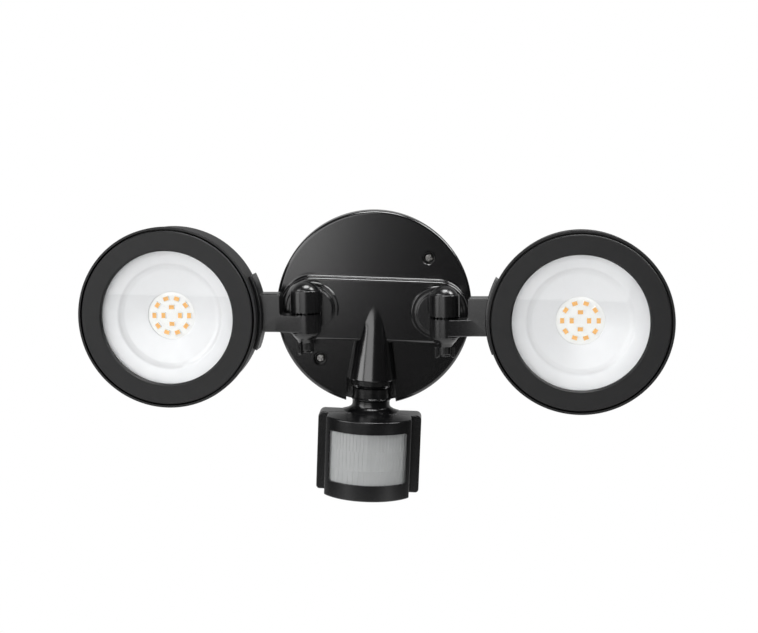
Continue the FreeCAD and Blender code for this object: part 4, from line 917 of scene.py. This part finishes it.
def head_housing(name):
    lip = [(51.0, 5.7, 0.2), (51.0, 0.5, 0.15), (52.3, 0.5, 0.35), (52.3, 5.0, 0.7), (BODY_R, 5.3, 0.3)]
    back = [(BODY_R, BACK_WALL, 6.0), (0, BACK_WALL, 0)]
    inside = [(0, 14.8, 0), (20, 14.8, 0.3), (20, 24, 0.8), (43, 24, 1.0)]
    ledge = [(43, 7.2, 0.3), (45.5, 7.2, 0.2), (45.5, 5.7, 0.2)]
    can = turned(name, eased(lip + back + inside + ledge, steps=6), steps=256)
    can = joined(can, *[fin((k - 4) * FIN_PITCH) for k in range(FINS)])
    tools = []
    for x, z in head_screws:
        tools += [peg("hole", 1.7, 4, 30, x, z, steps=32), peg("sink", 3.2, 26, 30, x, z, steps=40)]
    for z in (HEAD_DROP - 6.5, HEAD_DROP + 6.5):
        across = {"axis": "X", "at": (0, PIN_Y - OPENING_Y, z), "steps": 32}
        tools += [rod("way", 1.9, -53, -41, **across), rod("sink", 3.2, -44.5, -39, **across)]
    return in_head(carved(can, *tools))


both_sides("head_housing", "head_coat", "lamp", head_housing)

# %% [markdown]
# ## Bezel, cover, seal and reflector
#
# Between the lip and the bezel is a fine dark groove, which is simply a gap of less than a millimetre
# between two turned pieces. The cover behind the bezel is clear, the white reflector behind it has a
# shallow outer ring, a soft step and a bowl that slopes to the light board. The step is a smooth curve
# through a few points, not a corner, because the picture shows it as a soft shadow.

# %% Turned pieces of the head
COVER_R = 43.7
COVER_FRONT, COVER_BACK, SEAT_Y = 3.0, 5.0, 5.7


def spun_in_head(corners, arc_steps=4, steps=256):
    """A maker of one turned piece of the head."""
    return lambda name: in_head(turned(name, eased(corners, steps=arc_steps), steps=steps))


bezel = spun_in_head([(38.5, 0.9, 0.5), (39.4, 0, 0.4), (49.6, 0, 0.35), (50.1, 0.5, 0.3),
                      (50.1, SEAT_Y, 0.3), (44.0, SEAT_Y, 0.2), (44.0, 2.95, 0), (38.5, 2.95, 0.3)],
                     arc_steps=5)
cover = spun_in_head([(0, COVER_FRONT, 0), (COVER_R, COVER_FRONT, 0.4), (COVER_R, COVER_BACK, 0.4),
                      (0, COVER_BACK, 0)])
cover_seal = spun_in_head([(40.2, COVER_BACK, 0.2), (COVER_R, COVER_BACK, 0.2), (COVER_R, 6.0, 0.2),
                           (40.2, 6.0, 0.2)], steps=192)


def curve_through(points, steps=6):
    """A smooth line through (radius, height) points."""
    line = []
    padded = [points[0]] + points + [points[-1]]
    for a, b, c, d in zip(padded, padded[1:], padded[2:], padded[3:]):
        for k in range(steps):
            t = k / steps
            line.append(tuple(
                0.5 * (2 * b[i] + (c[i] - a[i]) * t + (2 * a[i] - 5 * b[i] + 4 * c[i] - d[i]) * t * t +
                       (3 * b[i] - a[i] - 3 * c[i] + d[i]) * t ** 3) for i in (0, 1)))
    return line + [points[-1]]


def reflector(name):
    front = curve_through([(45.2, 6.0), (39.6, 6.02), (38.6, 6.35), (35.0, 6.9), (31.6, 7.5), (30.5, 7.9),
                           (29.5, 8.6), (28.2, 9.3), (26.4, 9.9), (20.5, 11.1), (15.0, 12.15), (13.9, 12.5)])
    back = [(13.9, BOARD_Y), (15.9, BOARD_Y), (27.0, 11.1), (29.2, 10.4), (30.7, 9.3), (32.0, 8.8),
            (39.6, 7.2), (45.2, 7.2)]
    return in_head(turned(name, front + back, steps=256))


both_sides("bezel", "head_coat", "lamp", bezel)
both_sides("lens", "clear_glass", "lamp", cover)
both_sides("lens_gasket", "silicone", "lamp", cover_seal)
both_sides("reflector", "white_reflector", "lamp", reflector)

# %% [markdown]
# ## Light boards
#
# Fourteen packages sit on each board: ten on an outer ring and four inside. Each is a white frame around a
# slightly sunken amber window. They are small, but they are the brightest colour on the object, so they
# are made as pieces and not painted on.

# %% Light-emitting packages
CHIP_L, CHIP_W, CHIP_H = 3.5, 2.8, 0.8
chip_rings = ((10, 10.3), (4, 4.9))


def one_package():
    """A package in the middle of the board: a white frame, and a window with the second finish."""
    half_w, half_l, top = CHIP_W / 2, CHIP_L / 2, BOARD_Y - CHIP_H
    outline = eased(rectangle(-half_w, half_w, -half_l, half_l), 0.18, 3)
    package = pressed("package", outline, [(0, BOARD_Y), (0, BOARD_Y - 0.66), (0.08, top), (0.20, top),
                                           (0.26, top + 0.1)])
    package.data.materials.append(chip_body)
    package.data.materials.append(FINISH["led_phosphor"])
    for face in package.data.polygons:
        if len(face.vertices) > 8 and face.center.y < (BOARD_Y - 0.3) * MM:
            face.material_index = 1
    return package


def merged(name, parts):
    """Several separate meshes as one object, their finishes kept."""
    bm = bmesh.new()
    for part in parts:
        bm.from_mesh(part.data)
    mesh = bpy.data.meshes.new(name)
    bm.to_mesh(mesh)
    bm.free()
    for material in parts[0].data.materials:
        mesh.materials.append(material)
    obj = added(name, mesh)
    for part in parts:
        bpy.data.objects.remove(part)
    shade(obj)
    return obj


def light_packages(name):
    parts = []
    for count, ring in chip_rings:
        for k in range(count):
            package = one_package()
            turn = Matrix.Rotation(2 * pi * k / count, 4, "Y")
            package.data.transform(turn @ shift(ring, 0, 0))
            parts.append(package)
    return in_head(merged(name, parts))


both_sides("led_chips", "led_phosphor", "lamp", light_packages)

# %% [markdown]
# ## The sensor's outer shell
#
# The sensor hangs from a ball under the stem. Its rear housing has two flat wings and a neck that flares
# into the top; the front cover is a bulge between the wings, with a wide window. Both are pressed blocks
# with eased rims. The neck is turned, with the small bead that shows on the real one below the ring of the
# socket.

# %% Sensor housing
PAN = radians(-3.0)
NECK_TOP, TOP, BOTTOM = -43.0, -61.2, -108.3
REAR_Y, WING_Y, FRONT_Y = -15.0, -30.0, -56.5
SENSOR_HALF, FRONT_HALF, FRONT_R = 30.7, 25.0, 30.2
NECK_R, SPINE_R, TONGUE_HALF, EYE_R = 11.2, 13.5, 3.6, 5
ARC_Y = FRONT_Y + FRONT_R
case_screws = [(x, z) for x in (-19.4, 19.4) for z in (TOP - 5.4, BOTTOM + 5.4)]
panned = shift(0, STEM_Y, 0) @ Matrix.Rotation(PAN, 4, "Z") @ shift(0, -STEM_Y, 0)


def sensor_fitted(obj, node, slot, body="sensor"):
    return fitted(settle(obj, panned), node, slot, body)


print("sensor turned by", round(PAN, 4), "rad on its ball")


# %% Sensor neck and tongue
def sensor_neck():
    """The turned neck, trimmed to the plan of what it stands on."""
    bead = [(11.5, -53.3), (11.8, -53.7), (11.8, -54.4), (11.5, -54.8)]
    flare = [(11.45, -58.4), (12.2, -59.5), (13.6, -60.3), (15.2, -60.8), (16.9, TOP + 0.02), (16.9, -61.8)]
    neck = turned("neck", [(0, NECK_TOP), (NECK_R, NECK_TOP), (NECK_R, -53.0)] + bead +
                  [(NECK_R, -55.1), (NECK_R, -57.4)] + flare + [(0, -61.8)], steps=160, **ON_STEM)
    return kept_inside(neck, joined(block("over_case", -28, 28, WING_Y, REAR_Y, -62, -40),
                                    rod("round_back", SPINE_R, -62, -40, **ON_STEM),
                                    block("over_front", -28, 28, FRONT_Y, WING_Y + 1, TOP, -40)))


def tongue():
    """The eye that the cross pin of the ball goes through."""
    start = acos(-TONGUE_HALF / EYE_R)
    eye = [(EYE_R * sin(start * a / 24), EYE_R * cos(start * a / 24)) for a in range(-24, 25)]
    return pressed("tongue", [(-TONGUE_HALF, -16)] + eye + [(TONGUE_HALF, -16)],
                   soft_levels(-2.5, 2.5, 0.3, 0.3), axis="X", at=(0, STEM_Y, BALL_Z))


# %% Sensor rear shell
def rear_shell():
    outline = eased([(-SENSOR_HALF, BOTTOM, 2.0), (SENSOR_HALF, BOTTOM, 2.0), (SENSOR_HALF, TOP, 3.2),
                     (-SENSOR_HALF, TOP, 3.2)], steps=8)
    shell = pressed("sensor_housing_look", outline, soft_levels(WING_Y, REAR_Y, 0.7, 1.2))
    spine = turned("spine", [(0, TOP + 0.01), (SPINE_R, TOP + 0.01), (SPINE_R, TOP - 18.8), (7, TOP - 28.8),
                             (0, TOP - 28.8)], **ON_STEM)
    neck = sensor_neck()
    joined(shell, kept_inside(spine, block("behind", -20, 20, -20, 0, -100, -61)), neck)
    room = joined(block("room", -23.4, 23.4, WING_Y - 1, REAR_Y - 2, BOTTOM + 2, TOP - 2),
                  block("wing_room", -28.7, 28.7, WING_Y + 2, REAR_Y - 2, BOTTOM + 2, TOP - 2))
    carved(shell, room, ball_shape("cup", 14.7, 48, 144))
    joined(shell, tongue())
    tools = [rod("pin_way", 1.55, -5, 5, axis="X", at=(0, STEM_Y, BALL_Z), steps=32)]
    for x, z in case_screws:
        tools.append(peg("way", 1.45, -31, -14, x, z, steps=24))
        tools.append(peg("sink", 2.5, REAR_Y - 2.4, -14, x, z, steps=32))
    return carved(shell, *tools)


sensor_fitted(rear_shell(), "sensor_housing", "sensor_plastic")

# %% [markdown]
# ## Front cover
#
# The cover's plan is an arc between two flat cheeks. It is pressed upwards from that plan with its rims
# eased, hollowed, and opened by one wide window whose corners are rounded.

# %% Sensor front cover
COVER_WALL = 1.6
DIAL_X, DIAL_Y, DIAL_R = 11.0, STEM_Y - 20, 4.0
WINDOW_HALF, WINDOW_LOW, WINDOW_HIGH = 22.7, -98.8, -68.6


def bulge(inset, deeper=0.0, steps=56):
    """Plan of the cover: the arc in front, flat cheeks at the sides, open at the wings."""
    half, radius = FRONT_HALF - inset, FRONT_R - inset
    reach = asin(half / radius)
    arc = [(radius * sin(a), ARC_Y - radius * cos(a))
           for a in (reach * (2 * k / steps - 1) for k in range(steps + 1))]
    return eased([(-half, WING_Y + deeper, 0), (*arc[0], 1.2)] + [(*p, 0) for p in arc[1:-1]] +
                 [(*arc[-1], 1.2), (half, WING_Y + deeper, 0)], steps=3)


def front_shell():
    shell = pressed("sensor_front_look", bulge(0.0), soft_levels(BOTTOM, TOP, 0.8, 0.8), axis="Z")
    shell = kept_inside(shell, block("front_of_wings", -40, 40, -70, WING_Y, -120, -50))
    room = [(0, BOTTOM + COVER_WALL), (0, TOP - COVER_WALL)]
    shell = carved(shell, pressed("room", bulge(COVER_WALL, 1.0), room, axis="Z"))
    lip = carved(block("lip", -23.35, 23.35, WING_Y - 2, WING_Y + 2, BOTTOM + 2.05, TOP - 2.05, 0.3),
                 block("lip_room", -21.8, 21.8, WING_Y - 3, WING_Y + 3, BOTTOM + 3.2, TOP - 3.2))
    posts = []
    for x, z in case_screws:
        posts.append(peg("post", 2.6, WING_Y - 9, WING_Y + 2, x, z, steps=32))
        edge = TOP - 1 if z > -85 else BOTTOM + 1
        posts.append(block("rib", x - 2.6, x + 2.6, WING_Y - 9, WING_Y, min(z, edge), max(z, edge)))
    joined(shell, lip, *posts)
    window = eased(rectangle(-WINDOW_HALF, WINDOW_HALF, WINDOW_LOW, WINDOW_HIGH), 1.4, steps=5)
    tools = [pressed("window", window, [(0, FRONT_Y - 5), (0, WING_Y - 10)])]
    for x in (-DIAL_X, DIAL_X):
        tools.append(rod("dial_way", DIAL_R + 0.05, -110, -105, axis="Z", at=(x, DIAL_Y, 0), steps=64))
    return carved(shell, *tools)


sensor_fitted(front_shell(), "sensor_front", "sensor_plastic")

# %% [markdown]
# ## The ribbed lens of the sensor
#
# The milky lens is a thin curved sheet pressed with upright facets in three rows, each facet a slice of a
# flat lens that throws heat from one direction on the element behind. From outside they show as faint
# upright lines that change a little between rows. They are made in the mesh as a shallow saw edge along
# the curve, a different pitch in each row, because a bump map alone would vanish at the sheet's edge.

# %% Sensor lens
LENS_GAP, LENS_T, RIB_DEPTH = 1.65, 0.9, 0.16
LENS_OUT = FRONT_R - LENS_GAP
LENS_REACH = asin(min(0.999, (FRONT_HALF - LENS_GAP) / LENS_OUT))
ROWS = ((-66.6, -79.2, 26), (-79.2, -90.6, 22), (-90.6, -100.8, 17))
COLUMNS = 26 * 22


def on_arc(radius, share, z):
    """A point of the lens, at a share of the way across."""
    angle = LENS_REACH * (2 * share - 1)
    return (radius * sin(angle), ARC_Y - radius * cos(angle), z)


def rib_radius(share, ribs, depth):
    """The saw edge, which slopes the other way on the far half."""
    phase = (share * ribs) % 1.0
    saw = phase if share < 0.5 else 1 - phase
    return LENS_OUT - RIB_DEPTH * depth * (1 - saw ** 2)


def ribbed_lens(name="fresnel_lens_look"):
    levels = []
    for top, low, ribs in ROWS:
        levels += [(top - 0.01, ribs, 0.0), (top - 0.35, ribs, 1.0), (top - (top - low) / 2, ribs, 1.0),
                   (low + 0.35, ribs, 1.0), (low + 0.01, ribs, 0.0)]
    shares = [k / COLUMNS for k in range(COLUMNS + 1)]
    points = [on_arc(rib_radius(share, ribs, depth), share, z)
              for z, ribs, depth in levels for share in shares]
    front = len(points)
    points += [on_arc(LENS_OUT - LENS_T, share, z) for z, _, _ in levels for share in shares]
    faces = []
    width = COLUMNS + 1
    for row in range(len(levels) - 1):
        for k in range(COLUMNS):
            a = row * width + k
            faces.append([a, a + 1, a + 1 + width, a + width])
            faces.append([front + a, front + a + width, front + a + 1 + width, front + a + 1])
        for k in (0, COLUMNS):
            a = row * width + k
            faces.append([a, a + width, front + a + width, front + a])
    for row in (0, len(levels) - 1):
        for k in range(COLUMNS):
            a = row * width + k
            faces.append([a, front + a, front + a + 1, a + 1])
    return piece(name, points, faces, sharp=25)


sensor_fitted(ribbed_lens(), "fresnel_lens", "milky_lens")

# %% [markdown]
# ## Ball, ring and dials
#
# The ring that holds the ball is a shallow bowl with a round mouth. The dials under the sensor are knobs
# with fine grip ribs round the edge and a slot for a screwdriver.

# %% Socket ring and dials
RING_OUT, MOUTH_R, GRIPS = 14.3, 7.6, 30


def socket_ring(name="socket_ring_look"):
    outside = [(RING_OUT * sin(a), BALL_Z - RING_OUT * cos(a))
               for a in (radians(32.4 + 27.0 * k / 10) for k in range(11))]
    bowl = [(SEAT_R * cos(a), BALL_Z - SEAT_R * sin(a))
            for a in (radians(15.3 + 24.6 * k / 10) for k in range(11))]
    profile = [(MOUTH_R, BALL_Z - 12.1)] + [p for p in outside if 7.75 < p[0] < 12.35]
    profile += [(12.4, BALL_Z - 7.2), (12.4, -40.75), (12.2, -40.6)] + bowl + [(MOUTH_R, BALL_Z - 6.5)]
    return turned(name, profile, steps=160, **ON_STEM)


fitted(socket_ring(), "socket_ring", "canopy_plastic", "canopy")


def dial(name, x):
    top = BOTTOM + 2.4
    rim = []
    for k in range(GRIPS * 6):
        angle = 2 * pi * k / (GRIPS * 6)
        radius = DIAL_R - 0.16 * (0.5 + 0.5 * cos(GRIPS * angle))
        rim.append((radius * cos(angle), radius * sin(angle)))
    on_dial = {"axis": "Z", "at": (x, DIAL_Y, 0)}
    knob = pressed(name, rim, soft_levels(top - 3.4, top, 0.12, 0.1, 2), **on_dial)
    joined(knob, rod("shaft", 1.5, top - 0.2, BOTTOM + 9, steps=32, **on_dial))
    slot = block("slot", x - 2.9, x + 2.9, DIAL_Y - 0.5, DIAL_Y + 0.5, top - 5, top - 2.2)
    pointer = block("pointer", x + 1.6, x + 3.1, DIAL_Y - 1.1, DIAL_Y + 1.1, top - 5, top - 2.9)
    return carved(knob, slot, pointer)


sensor_fitted(dial("time_dial_look", -DIAL_X), "time_dial", "dial_plastic", "time_knob")
sensor_fitted(dial("range_dial_look", DIAL_X), "range_dial", "dial_plastic", "range_knob")

# %% [markdown]
# ## The pieces that stay as they are
#
# Plates, nuts, screws and the parts of the driver already have their true shapes in the frame. They keep
# them, and only get the finish that the record names for each.

# %% Finishes on the frame's own pieces
slot_of = {part["node"]: part["material_slot"] for part in frame["record"]["subparts"]}
kept = [node for name, node in sorted(frame["nodes"].items()) if not node.hide_render]
for node in kept:
    node.data.materials.clear()
    node.data.materials.append(FINISH[slot_of[node.name]])
    shade(node, 30)
print(len(kept), "pieces keep the frame's shape:", ", ".join(node.name for node in kept))
